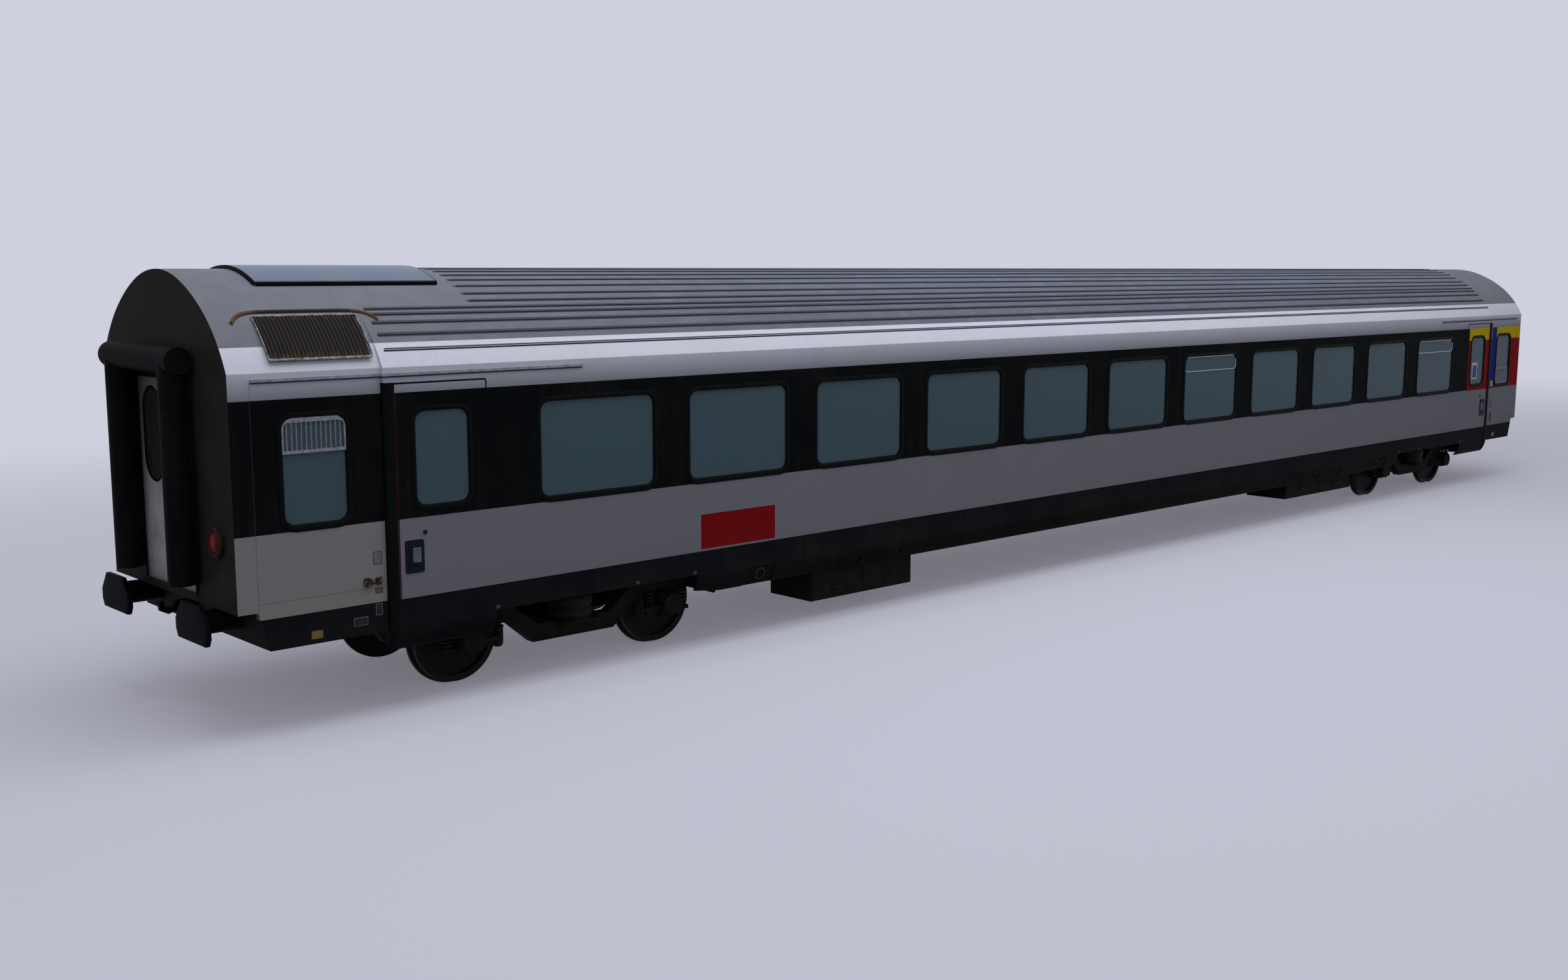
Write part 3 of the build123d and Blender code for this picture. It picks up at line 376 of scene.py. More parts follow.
# Hopper windows, the second and the sixth from the middle: a bright anodised frame round
# the tilting upper light, and its bottom rail across the pane.
anodised, tree, shader = finish("anodised_aluminium", "#A7ABB3", 0.34, 0.85)
place = node(tree, "TexCoord").outputs["Object"]
drawn = node(tree, "Mapping", {"Vector": place, "Scale": (3.0, 3.0, 160.0)}).outputs[0]
grain = node(tree, "TexNoise", {"Vector": drawn, "Scale": 1.0, "Detail": 3.0}).outputs[0]
tree.links.new(node(tree, "MapRange", {0: grain, 3: 0.26, 4: 0.44}).outputs[0], shader.inputs["Roughness"])
bar = [(-0.014, -0.0138), (-0.013, -0.007), (-0.003, -0.005), (0.0, -0.0138)]
grids = [on_side(moulding(1.881 * k, 2.553, 2.776, 1.392, 0.06, bar), side, MAIN) for k in (1, 5) for side in (-1, 1)]
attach(surface("hopper_frames", grids, anodised, ring=True), "carbody")


# Vestibule and washroom windows: the one by the near entry has a pressed aluminium air
# grille over its upper third, the far one guard bars across its foot.
def bars(xs, z0, z1, half_width, bulge):
    """Upright half-round bars: each carries a half circle of points up from z0 to z1."""
    turn = np.linspace(0, np.pi, 7)
    x = np.asarray(xs)[:, None, None] + half_width * np.cos(turn)[None, None]
    z = np.linspace(z0, z1, 2)[None, :, None] + RAIL
    proud = -0.0138 + bulge * np.sin(turn)[None, None]
    return np.stack(np.broadcast_arrays(x, proud, z), -1)


def arch(width, z0, z1, radius, steps=9):
    """Outline with a square foot and round upper corners: two feet, then two quarter turns."""
    turn = np.linspace(0, np.pi / 2, steps)
    right = np.stack([width / 2 - radius + radius * np.cos(turn), z1 - radius + radius * np.sin(turn)], -1)
    left = np.stack([-right[::-1, 0], right[::-1, 1]], -1)
    return np.concatenate([[[-width / 2, z0], [width / 2, z0]], right, left])


outer, inner = arch(0.597, 2.468, 2.778, 0.085), arch(0.565, 2.495, 2.738, 0.045)
flat = np.stack([outer, outer, inner, inner])
proud = np.array([-0.0138, 0.003, 0.003, -0.0138])[:, None]
grid = np.stack(np.broadcast_arrays(flat[..., 0] - 12.44, proud, flat[..., 1] + RAIL), -1)
grille, tree, shader = finish("pressed_grille_aluminium", "#8C919C", 0.5, 0.2)
place = node(tree, "TexCoord").outputs["Object"]
wear_marks = node(tree, "TexNoise", {"Vector": place, "Scale": 24.0, "Detail": 5.0}).outputs[0]
tree.links.new(over(tree, srgb("#8C919C"), node(tree, "MapRange", {0: wear_marks, 1: 0.4, 2: 0.7}).outputs[0], "#6A6768"),
               shader.inputs["Base Color"])
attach(surface("grille_frame", on_side(grid, -1, END), grille, ring=True), "carbody")
xs = np.linspace(-12.69, -12.19, 12)
grids = [on_side(g, -1, END) for g in bars(xs, 2.487, 2.745, 0.007, 0.013)]
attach(surface("grille_bars", grids, grille), "carbody")
zinc, tree, shader = finish("galvanised_bar", "#6C7077", 0.5, 0.2)
place = node(tree, "TexCoord").outputs["Object"]
spangle = node(tree, "TexVoronoi", {"Vector": place, "Scale": 60.0}).outputs["Color"]
spangle = node(tree, "SeparateXYZ", {0: spangle}).outputs[0]
tree.links.new(node(tree, "MapRange", {0: spangle, 3: 0.38, 4: 0.6}).outputs[0], shader.inputs["Roughness"])
grid = moulding(12.44, 1.85, 2.15, 0.55, 0.05, [(-0.02, -0.0138), (-0.018, -0.004), (0.0, -0.004), (0.002, -0.0138)])
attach(surface("guard_frame", on_side(grid, -1, END), zinc, ring=True), "carbody")
grids = [on_side(g, -1, END) for g in bars(np.linspace(12.22, 12.66, 6), 1.86, 2.14, 0.012, 0.012)]
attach(surface("guard_bars", grids, zinc), "carbody")

# Entry doors: a flush leaf in a rubber-lined cut, with a dark recessed plate that holds the
# opening handle, a push button above it, and a heavy rubber on the post where it closes.
groove = [(-0.009, 0.0004), (-0.007, 0.0022), (0.005, 0.0022), (0.007, 0.0004)]
grids = [on_side(moulding(x, 0.585, 3.03, 0.97, 0.02, groove), side, MAIN)
         for x in (-11.195, 11.195) for side in (-1, 1)]
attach(surface("door_seals", grids, rubber, ring=True), "carbody")

post = np.array([(11.674, 0.0004), (11.684, 0.008), (11.70, 0.013), (11.735, 0.015), (11.77, 0.011),
                 (11.787, -0.004), (11.789, -0.037)])
heights = np.linspace(0.575, 3.04, 42)[:, None] + RAIL
grids = []
for end in (-1, 1):
    for side in (-1, 1):
        grid = np.stack(np.broadcast_arrays(end * post[None, :, 0], post[None, :, 1], heights), -1)
        grids.append(on_side(grid, side, MAIN))
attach(surface("post_rubbers", grids, rubber), "carbody")


def plate(x, z0, z1, width, radius, proud, base=0.0, edge=0.003):
    """Rounded plate: its upright edge, a small round-off, and a face drawn to its middle."""
    grid = moulding(x, z0, z1, width, radius, [(0, base), (0, proud - edge), (-edge, proud)])
    middle = np.broadcast_to(grid[-1:].mean(1, keepdims=True), grid[-1:].shape)
    return np.concatenate([grid, middle])


cast, tree, shader = finish("cast_handle_plate", "#151B23", 0.5)
shader.inputs["Specular IOR Level"].default_value = 0.05
place = node(tree, "TexCoord").outputs["Object"]
sand = node(tree, "TexNoise", {"Vector": place, "Scale": 220.0, "Detail": 3.0}).outputs[0]
tree.links.new(node(tree, "Bump", {"Height": sand, "Distance": 0.001, "Strength": 0.4}).outputs[0],
               shader.inputs["Normal"])
ends = [(end, side) for end in (-1, 1) for side in (-1, 1)]
grids = [on_side(plate(end * 11.518, 1.28, 1.588, 0.196, 0.02, 0.008), side, MAIN) for end, side in ends]
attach(surface("handle_plates", grids, cast, ring=True), "carbody")
rim = [(-0.012, 0.0078), (-0.010, 0.0135), (-0.003, 0.0145), (0.001, 0.0078)]
grids = [on_side(moulding(end * 11.51, 1.355, 1.535, 0.135, 0.015, rim), side, MAIN) for end, side in ends]
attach(surface("handle_rims", grids, cast, ring=True), "carbody")
pull, tree, shader = finish("grey_pull_enamel", "#565C67", 0.45)
shader.inputs["Specular IOR Level"].default_value = 0.2
place = node(tree, "TexCoord").outputs["Object"]
rubbed = node(tree, "TexNoise", {"Vector": place, "Scale": 30.0, "Detail": 5.0}).outputs[0]
tree.links.new(over(tree, srgb("#565C67"), node(tree, "MapRange", {0: rubbed, 1: 0.45, 2: 0.7}).outputs[0], "#666C77"),
               shader.inputs["Base Color"])
grids = [on_side(plate(end * 11.498, 1.375, 1.515, 0.088, 0.008, 0.0155, 0.0075), side, MAIN) for end, side in ends]
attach(surface("handle_pulls", grids, pull, ring=True), "carbody")
grids = [on_side(plate(end * 11.403, 1.626, 1.668, 0.042, 0.0209, 0.008), side, MAIN) for end, side in ends]
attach(surface("door_buttons", grids, cast, ring=True), "carbody")

# Blank plates and stickers: enamelled or printed labels with nothing on them, a socket with
# a hinged flap, the yellow tag on the blue strip and a notice in the far door's pane.
LABELS = (  # name, colour, border, x, low z, high z, width, skin half width, base
    ("label_grey_near", "#77777B", "#3A3B3E", -11.875, 1.40, 1.52, 0.09, END, 0.0),
    ("label_tan_near", "#6E5C40", "#3A3228", -11.870, 1.135, 1.185, 0.08, END, 0.0),
    ("label_white_near", "#1C2126", "#5E6166", -12.06, 0.86, 0.94, 0.14, END, 0.0),
    ("label_jack_near", "#1C2126", "#5E6166", -11.875, 0.93, 1.04, 0.07, END, 0.0),
    ("label_yellow_near", "#84723C", "#6A5A30", -12.485, 0.81, 0.885, 0.11, END, 0.0),
    ("label_grey_far", "#5E5F64", "#38393D", 12.01, 1.40, 1.52, 0.09, END, 0.0),
    ("label_dark_far", "#2A2B2D", "#2A2B2D", 12.02, 1.12, 1.29, 0.09, END, 0.0),
    ("label_yellow_far", "#84723C", "#6A5A30", 12.20, 0.82, 0.90, 0.11, END, 0.0),
    ("tag_yellow", "#CDB010", "#8E7A0C", 11.99, 1.80, 1.92, 0.10, END, 0.0),
    ("notice_white", "#C9CCD2", "#C9CCD2", 11.12, 1.99, 2.30, 0.23, MAIN, -0.0099),
    ("notice_blue", "#2A4C8E", "#2A4C8E", 11.12, 2.02, 2.25, 0.17, MAIN, -0.0084))
for name, code, border, x, z0, z1, width, half, base in LABELS:
    printed, tree, shader = finish("enamel_" + name, code, 0.5)
    shader.inputs["Specular IOR Level"].default_value = 0.1
    place = node(tree, "TexCoord").outputs["Object"]
    axes = node(tree, "SeparateXYZ", {0: place}).outputs
    soil = node(tree, "TexNoise", {"Vector": place, "Scale": 26.0, "Detail": 5.0}).outputs[0]
    field = both_true(tree, inside(tree, axes[0], x - width / 2 + 0.007, x + width / 2 - 0.007),
                      inside(tree, axes[2], z0 + RAIL + 0.007, z1 + RAIL - 0.007))
    shade = over(tree, srgb(border), field, code)
    shade = over(tree, shade, node(tree, "MapRange", {0: soil, 1: 0.4, 2: 0.75, 4: 0.5}).outputs[0], "#4A4640")
    tree.links.new(shade, shader.inputs["Base Color"])
    grid = plate(x, z0, z1, width, 0.006, base + 0.0015, base, 0.0006)
    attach(surface(name, on_side(grid, -1, half), printed, ring=True), "carbody")
socket, tree, shader = finish("oily_socket_brass", "#17130F", 0.5, 0.3)
shader.inputs["Specular IOR Level"].default_value = 0.2
place = node(tree, "TexCoord").outputs["Object"]
oil = node(tree, "TexNoise", {"Vector": place, "Scale": 34.0, "Detail": 4.0}).outputs[0]
tree.links.new(over(tree, srgb("#17130F"), node(tree, "MapRange", {0: oil, 1: 0.48, 2: 0.62}).outputs[0], "#6A5638"),
               shader.inputs["Base Color"])
for name, x, z0, z1, width, proud in (("socket_flap", -11.985, 1.212, 1.288, 0.070, 0.030),
                                      ("socket_latch", -11.930, 1.225, 1.275, 0.040, 0.020),
                                      ("socket_cap", -11.870, 1.215, 1.285, 0.070, 0.012)):
    grid = plate(x, z0, z1, width, 0.018, proud)
    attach(surface(name, on_side(grid, -1, END), socket, ring=True), "carbody")

# Gangways: rolls of black rubber cloth over coil springs on a steel frame, two upright and
# one across their tops. They fold a little round, chalk with age and carry a clamp seam.
rolls, tree, shader = finish("gangway_rubber", "#0F0F10", 0.6)
shader.inputs["Specular IOR Level"].default_value = 0.025
place = node(tree, "TexCoord").outputs["Object"]
chalk = node(tree, "TexNoise", {"Vector": place, "Scale": 2.6, "Detail": 6.0, "Roughness": 0.65}).outputs[0]
shade = over(tree, srgb("#0F0F10"), node(tree, "MapRange", {0: chalk, 1: 0.4, 2: 0.75, 4: 0.7}).outputs[0], "#1D1D1F")
tree.links.new(shade, shader.inputs["Base Color"])
folds = node(tree, "TexWave", {"Vector": place, "Scale": 2.2, "Distortion": 1.5, "Detail": 1.0},
             bands_direction="Z").outputs[1]
tree.links.new(node(tree, "Bump", {"Height": folds, "Distance": 0.006, "Strength": 0.35}).outputs[0],
               shader.inputs["Normal"])
wear(["gangway_*"], rolls)


def lathe(profile, steps=40):
    """Turns rows of (radius, along) round an axis: radius times cosine and sine of the turn.
    Returns a grid of (cross, along, up)."""
    profile = np.asarray(profile, float)
    turn = np.linspace(0, 2 * np.pi, steps, endpoint=False)
    radius, along = profile[:, :1], profile[:, 1:]
    return np.stack(np.broadcast_arrays(radius * np.cos(turn), along, radius * np.sin(turn)), -1)


def on_end(grid, end, face):
    """Lays rows of (across, proud, z) on an end: x is the face plus proud, outwards."""
    across, proud, z = np.moveaxis(grid, -1, 0)
    return np.stack([end * (face + proud), across, z], -1)


# Roll ends: a pressed disc that closes the cross roll, with a turned-over rim.
grids = []
for end in (-1, 1):
    for side in (-1, 1):
        disc = lathe([(0.1202, -0.03), (0.1207, 0.0), (0.117, 0.006), (0.107, 0.006), (0.103, 0.002), (0.0, 0.002)])
        x, along, z = np.moveaxis(disc, -1, 0)
        grids.append(np.stack([end * 13.35 + x, side * (0.760 + along), 3.27 + RAIL + z], -1))
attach(surface("roll_ends", grids, rolls, ring=True), "carbody")
edge = [(-0.014, 0.0), (-0.012, 0.012), (0.0, 0.016), (0.014, 0.010), (0.020, 0.0)]
grids = [on_end(moulding(0, 1.18, 3.09, 1.125, 0.02, edge), end, 13.2) for end in (-1, 1)]
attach(surface("doorway_rubbers", grids, rubber, ring=True), "carbody")

# End doors: pairs of sliding leaves in pale baked enamel, each with an oval pane in a black
# gasket, a kick panel at its foot and a rubber nosing where the two meet. The pulls lie
# nearly flush, because the leaves slide behind the end wall.
leaf_enamel, tree, shader = finish("pale_baked_enamel", "#B7BBBB", 0.45)
shader.inputs["Specular IOR Level"].default_value = 0.15
place = node(tree, "TexCoord").outputs["Object"]
# Blotchy soot, with painted shade that darkens the leaves towards their tops under the gangway's cross roll; they also
# darken towards their feet.
soot_and_shade = node(tree, "TexNoise", {"Vector": place, "Scale": 4.0, "Detail": 6.0, "Roughness": 0.65}).outputs[0]
soot_and_shade = node(tree, "MapRange", {0: soot_and_shade, 1: 0.42, 2: 0.8, 4: 0.55}).outputs[0]
height = node(tree, "SeparateXYZ", {0: place}).outputs[2]
top_shade = node(tree, "MapRange", {0: height, 1: 1.9, 2: 3.0, 4: 0.70}).outputs[0]
foot = node(tree, "MapRange", {0: height, 1: 1.48, 2: 1.20, 4: 0.75}).outputs[0]
soot_and_shade = node(tree, "Math", {0: soot_and_shade, 1: node(tree, "Math", {0: top_shade, 1: foot}, operation="MAXIMUM").outputs[0]},
            operation="MAXIMUM").outputs[0]
tree.links.new(over(tree, srgb("#B7BBBB"), soot_and_shade, "#4B4A49"), shader.inputs["Base Color"])
wear(["end_door_near_*", "end_door_far_*"], leaf_enamel)
oval = [(-0.004, -0.008), (-0.003, 0.001), (0.004, 0.005), (0.014, 0.005), (0.022, -0.0005)]
kick = [(-0.010, 0.0), (-0.008, 0.004), (0.0, 0.004), (0.003, 0.0)]
nose = np.array([(0.0026, -0.002), (0.0027, 0.004), (0.010, 0.0055), (0.020, 0.004), (0.024, -0.0005)])
for end, word in ((-1, "near"), (1, "far")):
    for side, hand in ((-1, "right"), (1, "left")):
        body = f"end_door_{word}_{hand}"
        grid = on_end(moulding(side * 0.295, 2.13, 2.98, 0.40, 0.1999, oval), end, 13.184)
        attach(surface(f"oval_rubber_{word}_{hand}", grid, rubber, ring=True), body)
        grid = on_end(moulding(side * 0.295, 1.21, 1.63, 0.47, 0.03, kick), end, 13.184)
        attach(surface(f"kick_panel_{word}_{hand}", grid, leaf_enamel, ring=True), body)
        rows = np.linspace(1.18, 3.09, 2)[:, None] + RAIL
        grid = np.stack(np.broadcast_arrays(side * nose[None, :, 0], nose[None, :, 1], rows), -1)
        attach(surface(f"leaf_nosing_{word}_{hand}", on_end(grid, end, 13.184), rubber), body)
        grid = on_end(plate(side * 0.055, 1.95, 2.07, 0.035, 0.017, 0.004, 0.0, 0.0015), end, 13.184)
        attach(surface(f"leaf_pull_{word}_{hand}", grid, anodised, ring=True), body)

# Tail lamps: a dished lamp body with a rusty steel bezel, a red moulded lens painted lighter round its middle as a
# highlight, and a blank tin plate under it.
bezel_metal, tree, shader = finish("rusty_pressed_steel", "#1E1A16", 0.7)
shader.inputs["Specular IOR Level"].default_value = 0.08
place = node(tree, "TexCoord").outputs["Object"]
rust = node(tree, "TexNoise", {"Vector": place, "Scale": 22.0, "Detail": 6.0, "Roughness": 0.7}).outputs[0]
rust = node(tree, "MapRange", {0: rust, 1: 0.42, 2: 0.65}).outputs[0]
tree.links.new(over(tree, srgb("#1E1A16"), rust, "#3C2C1C"), shader.inputs["Base Color"])
wear(["tail_lamps"], bezel_metal)
lens_red, tree, shader = finish("red_lamp_lens", "#4A0608", 0.3)
shader.inputs["Specular IOR Level"].default_value = 0.1
place = node(tree, "TexCoord").outputs["Object"]
lamp_y, lamp_z = node(tree, "SeparateXYZ", {0: place}).outputs[1:3]
lamp_y = node(tree, "Math", {0: node(tree, "Math", {0: lamp_y}, operation="ABSOLUTE").outputs[0], 1: 1.05},
              operation="SUBTRACT").outputs[0]
lamp_z = node(tree, "Math", {0: lamp_z, 1: 1.717 + RAIL}, operation="SUBTRACT").outputs[0]
off_axis = node(tree, "VectorMath", {0: node(tree, "CombineXYZ", {0: lamp_y, 1: lamp_z}).outputs[0]}, operation="LENGTH")
# Painted highlight: the lens is lighter red round its middle.
lens_highlight = node(tree, "MapRange", {0: off_axis.outputs["Value"], 1: 0.02, 2: 0.075, 3: 0.9, 4: 0.0}).outputs[0]
tree.links.new(over(tree, srgb("#4A0608"), lens_highlight, "#A01416"), shader.inputs["Base Color"])
prisms = node(tree, "TexVoronoi", {"Vector": place, "Scale": 70.0}).outputs[0]
tree.links.new(node(tree, "Bump", {"Height": prisms, "Distance": 0.003, "Strength": 0.6}).outputs[0],
               shader.inputs["Normal"])
lamp_rings, lamp_lenses, tin_plates = [], [], []
for end in (-1, 1):
    for side in (-1, 1):
        move = np.array([side * 1.05, 0.0, 1.717 + RAIL])
        ring = lathe([(0.1315, 0.004), (0.136, 0.030), (0.130, 0.043), (0.118, 0.046), (0.104, 0.040), (0.098, 0.0352)])
        lamp_rings.append(on_end(ring + move, end, 13.2))
        lens = lathe([(0.100, 0.0352), (0.092, 0.046), (0.072, 0.055), (0.045, 0.060), (0.02, 0.062), (0.0, 0.0622)])
        lamp_lenses.append(on_end(lens + move, end, 13.2))
        tin_plates.append(on_end(plate(side * 1.05, 1.405, 1.49, 0.26, 0.008, 0.003), end, 13.2))
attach(surface("lamp_rings", lamp_rings, bezel_metal, ring=True), "carbody")
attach(surface("lamp_lenses", lamp_lenses, lens_red, ring=True), "carbody")
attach(surface("lamp_plates", tin_plates, bezel_metal, ring=True), "carbody")

# Buffers and drawhooks: forged and pressed steel under thick blue-black paint. The faces
# are slightly domed and bare in the middle, where grease and dust have caught.
buffer_paint, tree, shader = finish("greased_buffer_paint", "#07090C", 0.6)
shader.inputs["Specular IOR Level"].default_value = 0.015
place = node(tree, "TexCoord").outputs["Object"]
grease = node(tree, "TexNoise", {"Vector": place, "Scale": 9.0, "Detail": 6.0, "Roughness": 0.65}).outputs[0]
smear = node(tree, "MapRange", {0: grease, 1: 0.40, 2: 0.7}).outputs[0]
tree.links.new(over(tree, srgb("#07090C"), smear, "#0F1318"), shader.inputs["Base Color"])
tree.links.new(node(tree, "MapRange", {0: grease, 3: 0.35, 4: 0.65}).outputs[0], shader.inputs["Roughness"])
wear(["buffers", "drawhooks"], buffer_paint)
corners = np.array([(-0.2, 1.18), (0.2, 1.18), (0.33, 1.01), (0.33, 0.915), (0.29, 0.845), (-0.29, 0.845),
                    (-0.33, 0.915), (-0.33, 1.01)]) - (0, 1.0)
along = np.linspace(0, 1, 7)[:-1]
rim = (corners[:, None] * (1 - along)[None, :, None] + np.roll(corners, -1, 0)[:, None] * along[None, :, None])
rim = rim.reshape(-1, 2)
shrink = np.array([1.004, 1.004, 0.985, 0.9, 0.7, 0.45, 0.2, 0.0])
height = np.array([-0.02, -0.004, 0.0006, 0.0035, 0.007, 0.009, 0.0102, 0.0105])
grids = []
for end in (-1, 1):
    for side in (-1, 1):
        spread = shrink[:, None, None] * rim[None]
        grid = np.stack([spread[..., 0] + side * 0.875, np.broadcast_to(height[:, None], spread.shape[:2]),
                         spread[..., 1] + 1.0 + RAIL], -1)
        grids.append(on_end(grid, end, 13.405))
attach(surface("buffer_faces", grids, buffer_paint, ring=True), "carbody")

# Roof equipment cover: glass fibre in blue-grey gel coat over the ventilation plant, edged with a black seal.
gel, tree, shader = finish("blue_grey_gel_coat", "#56667A", 0.34)
place = node(tree, "TexCoord").outputs["Object"]
dust = node(tree, "TexNoise", {"Vector": place, "Scale": 2.0, "Detail": 6.0, "Roughness": 0.6}).outputs[0]
dust = node(tree, "MapRange", {0: dust, 1: 0.4, 2: 0.8, 4: 0.5}).outputs[0]
tree.links.new(over(tree, srgb("#56667A"), dust, "#686D75"), shader.inputs["Base Color"])
wear(["roof_hatch"], gel)


def roof_line(y):
    """Height and outward direction of the roof at distances from the ridge: three arcs, each
    tangent to the one before, whose radius follows from its two ends and first direction."""
    knots = np.array([(0.0, 4.05), (0.4806, 3.962), (0.9465, 3.705), (1.4125, 3.174)])
    normal = np.array([0.0, 1.0])
    y = np.abs(np.asarray(y, float))
    height, lean = np.full(y.shape, 3.174), np.zeros(y.shape)
    for start, stop in zip(knots[:-1], knots[1:]):
        run = stop - start
        radius = -(run @ run) / (2 * normal @ run)
        centre = start - radius * normal
        here = (y >= start[0]) & (y <= stop[0] + 1e-9)
        rise = np.sqrt(np.clip(radius ** 2 - (y - centre[0]) ** 2, 0, None))
        height = np.where(here, centre[1] + rise, height)
        lean = np.where(here, np.arcsin(np.clip((y - centre[0]) / radius, -1, 1)), lean)
        normal = (stop - centre) / radius
    return height + RAIL, lean


def on_roof(grid, side=-1):
    """Lays rows of (x, proud, y) on the roof: a point moves out along the roof's normal."""
    x, proud, y = np.moveaxis(grid, -1, 0)
    height, lean = roof_line(y)
    return np.stack([x, side * (y + proud * np.sin(lean)), height + proud * np.cos(lean)], -1)


edge = np.array([(-0.004, 0.030), (0.002, 0.0342), (0.012, 0.0335), (0.018, 0.018), (0.020, 0.0)])
grids = []
for side in (-1, 1):
    x = np.linspace(-12.575, -10.745, 30)
    grid = np.stack(np.broadcast_arrays(x[None], edge[:, 1:], 0.618 + edge[:, :1]), -1)
    grids.append(on_roof(grid, side))
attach(surface("hatch_seals", grids, rubber), "carbody")
y = np.linspace(-0.62, 0.62, 30)
grids = []
for x, way in ((-12.57, -1), (-10.75, 1)):
    height, lean = roof_line(y)
    proud = edge[:, 1:]
    grids.append(np.stack(np.broadcast_arrays(x + way * edge[:, :1], np.sign(y) * np.abs(y) + proud * np.sin(lean) * np.sign(y),
                                              height + proud * np.cos(lean)), -1))
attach(surface("hatch_end_seals", grids, rubber), "carbody")

# Air intake: a grille of folded steel slats in a frame screwed to the roof's shoulder, and
# over it a bent gutter that turns rain aside. Both have rusted through their paint.
intake, tree, shader = finish("rusted_intake_steel", "#2A2723", 0.7)
shader.inputs["Specular IOR Level"].default_value = 0.12
place = node(tree, "TexCoord").outputs["Object"]
# Rust runs down the slats in lines 15 mm apart, and gathers at their two ends.
drawn = node(tree, "Mapping", {"Vector": place, "Scale": (60.0, 4.0, 4.0)}).outputs[0]
rust = node(tree, "TexNoise", {"Vector": drawn, "Scale": 1.0, "Detail": 5.0, "Roughness": 0.6}).outputs[0]
height = node(tree, "SeparateXYZ", {0: place}).outputs[2]
ends = node(tree, "Math", {0: height, 1: 3.500}, operation="SUBTRACT").outputs[0]
ends = node(tree, "MapRange", {0: node(tree, "Math", {0: ends}, operation="ABSOLUTE").outputs[0],
                               1: 0.12, 2: 0.165, 4: 0.22}).outputs[0]
rust = node(tree, "Math", {0: rust, 1: ends}, operation="ADD").outputs[0]
rust = node(tree, "MapRange", {0: rust, 1: 0.60, 2: 0.76, 4: 0.8}).outputs[0]
tree.links.new(over(tree, srgb("#2A2723"), rust, "#4C3D24"), shader.inputs["Base Color"])
tree.links.new(node(tree, "Bump", {"Height": rust, "Distance": 0.002, "Strength": 0.4}).outputs[0],
               shader.inputs["Normal"])
down = np.linspace(1.040, 1.345, 9)
slat = np.array([(-0.017, 0.002), (-0.006, 0.017), (0.004, 0.019), (0.006, 0.016), (-0.006, 0.004)])
grids = []
for x in np.linspace(-12.78, -11.87, 26):
    grid = np.stack(np.broadcast_arrays(x + slat[None, :, 0], slat[None, :, 1], down[:, None]), -1)
    grids.append(on_roof(grid))
slats = surface("intake_slats", grids, intake, ring=True)
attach(slats, "carbody")
# Painted shadow: a dark sheet under the slats stands for the shade inside the intake, with lighter blotches.
well, tree, shader = finish("intake_well", "#141210", 0.8)
place = node(tree, "TexCoord").outputs["Object"]
soot_and_shade = node(tree, "TexNoise", {"Vector": place, "Scale": 8.0, "Detail": 5.0}).outputs[0]
tree.links.new(over(tree, srgb("#141210"), soot_and_shade, "#26211C"), shader.inputs["Base Color"])
grid = np.stack(np.broadcast_arrays(np.linspace(-12.80, -11.85, 3)[None], 0.0015, down[:, None]), -1)
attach(surface("intake_well", on_roof(grid), well), "carbody")
edging, tree, shader = finish("bare_frame_aluminium", "#8D8E93", 0.5, 0.2)
place = node(tree, "TexCoord").outputs["Object"]
tarnish = node(tree, "TexNoise", {"Vector": place, "Scale": 15.0, "Detail": 6.0, "Roughness": 0.7}).outputs[0]
tree.links.new(over(tree, srgb("#8D8E93"), node(tree, "MapRange", {0: tarnish, 1: 0.40, 2: 0.60}).outputs[0], "#3E342A"),
               shader.inputs["Base Color"])
frame_edge = np.array([(-0.004, 0.0), (-0.004, 0.017), (-0.002, 0.018), (0.004, 0.018), (0.007, 0.015), (0.007, 0.0)])
path, out = corner_path(0.97, 0.315, 0.012, 3)
steps = np.linspace(0, 1, 9)[:-1]
longer = path[:, None] * (1 - steps)[None, :, None] + np.roll(path, -1, 0)[:, None] * steps[None, :, None]
facing = out[:, None] * (1 - steps)[None, :, None] + np.roll(out, -1, 0)[:, None] * steps[None, :, None]
longer, facing = longer.reshape(-1, 2), facing.reshape(-1, 2)
flat = longer[None] + frame_edge[:, None, :1] * facing[None]
grid = np.stack([flat[..., 0] - 12.325, np.broadcast_to(frame_edge[:, 1:], flat.shape[:2]), flat[..., 1] + 1.1925], -1)
frame_piece = surface("intake_frame", on_roof(grid), edging, ring=True)
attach(frame_piece, "carbody")
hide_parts("roof_louvre")
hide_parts("roof_louvre")

x = np.linspace(-13.01, -11.63, 70)
bend = 0.985 + 0.105 * np.abs((x + 12.32) / 0.69) ** 8
slope = np.gradient(bend, x)
across = np.stack([-slope, np.ones_like(slope)], -1) / np.sqrt(1 + slope ** 2)[:, None]
hoop = np.array([(-0.014, 0.0), (-0.013, 0.014), (-0.006, 0.019), (0.006, 0.016), (0.013, 0.006), (0.014, 0.0)])
grid = np.stack([x[None] + hoop[:, :1] * across[None, :, 0],
                 np.broadcast_to(hoop[:, 1:], (len(hoop), len(x))), bend[None] + hoop[:, :1] * across[None, :, 1]], -1)
scale, tree, shader = finish("flaking_gutter_steel", "#2B2826", 0.7)
shader.inputs["Specular IOR Level"].default_value = 0.12
place = node(tree, "TexCoord").outputs["Object"]
flakes = node(tree, "TexNoise", {"Vector": place, "Scale": 16.0, "Detail": 7.0, "Roughness": 0.7}).outputs[0]
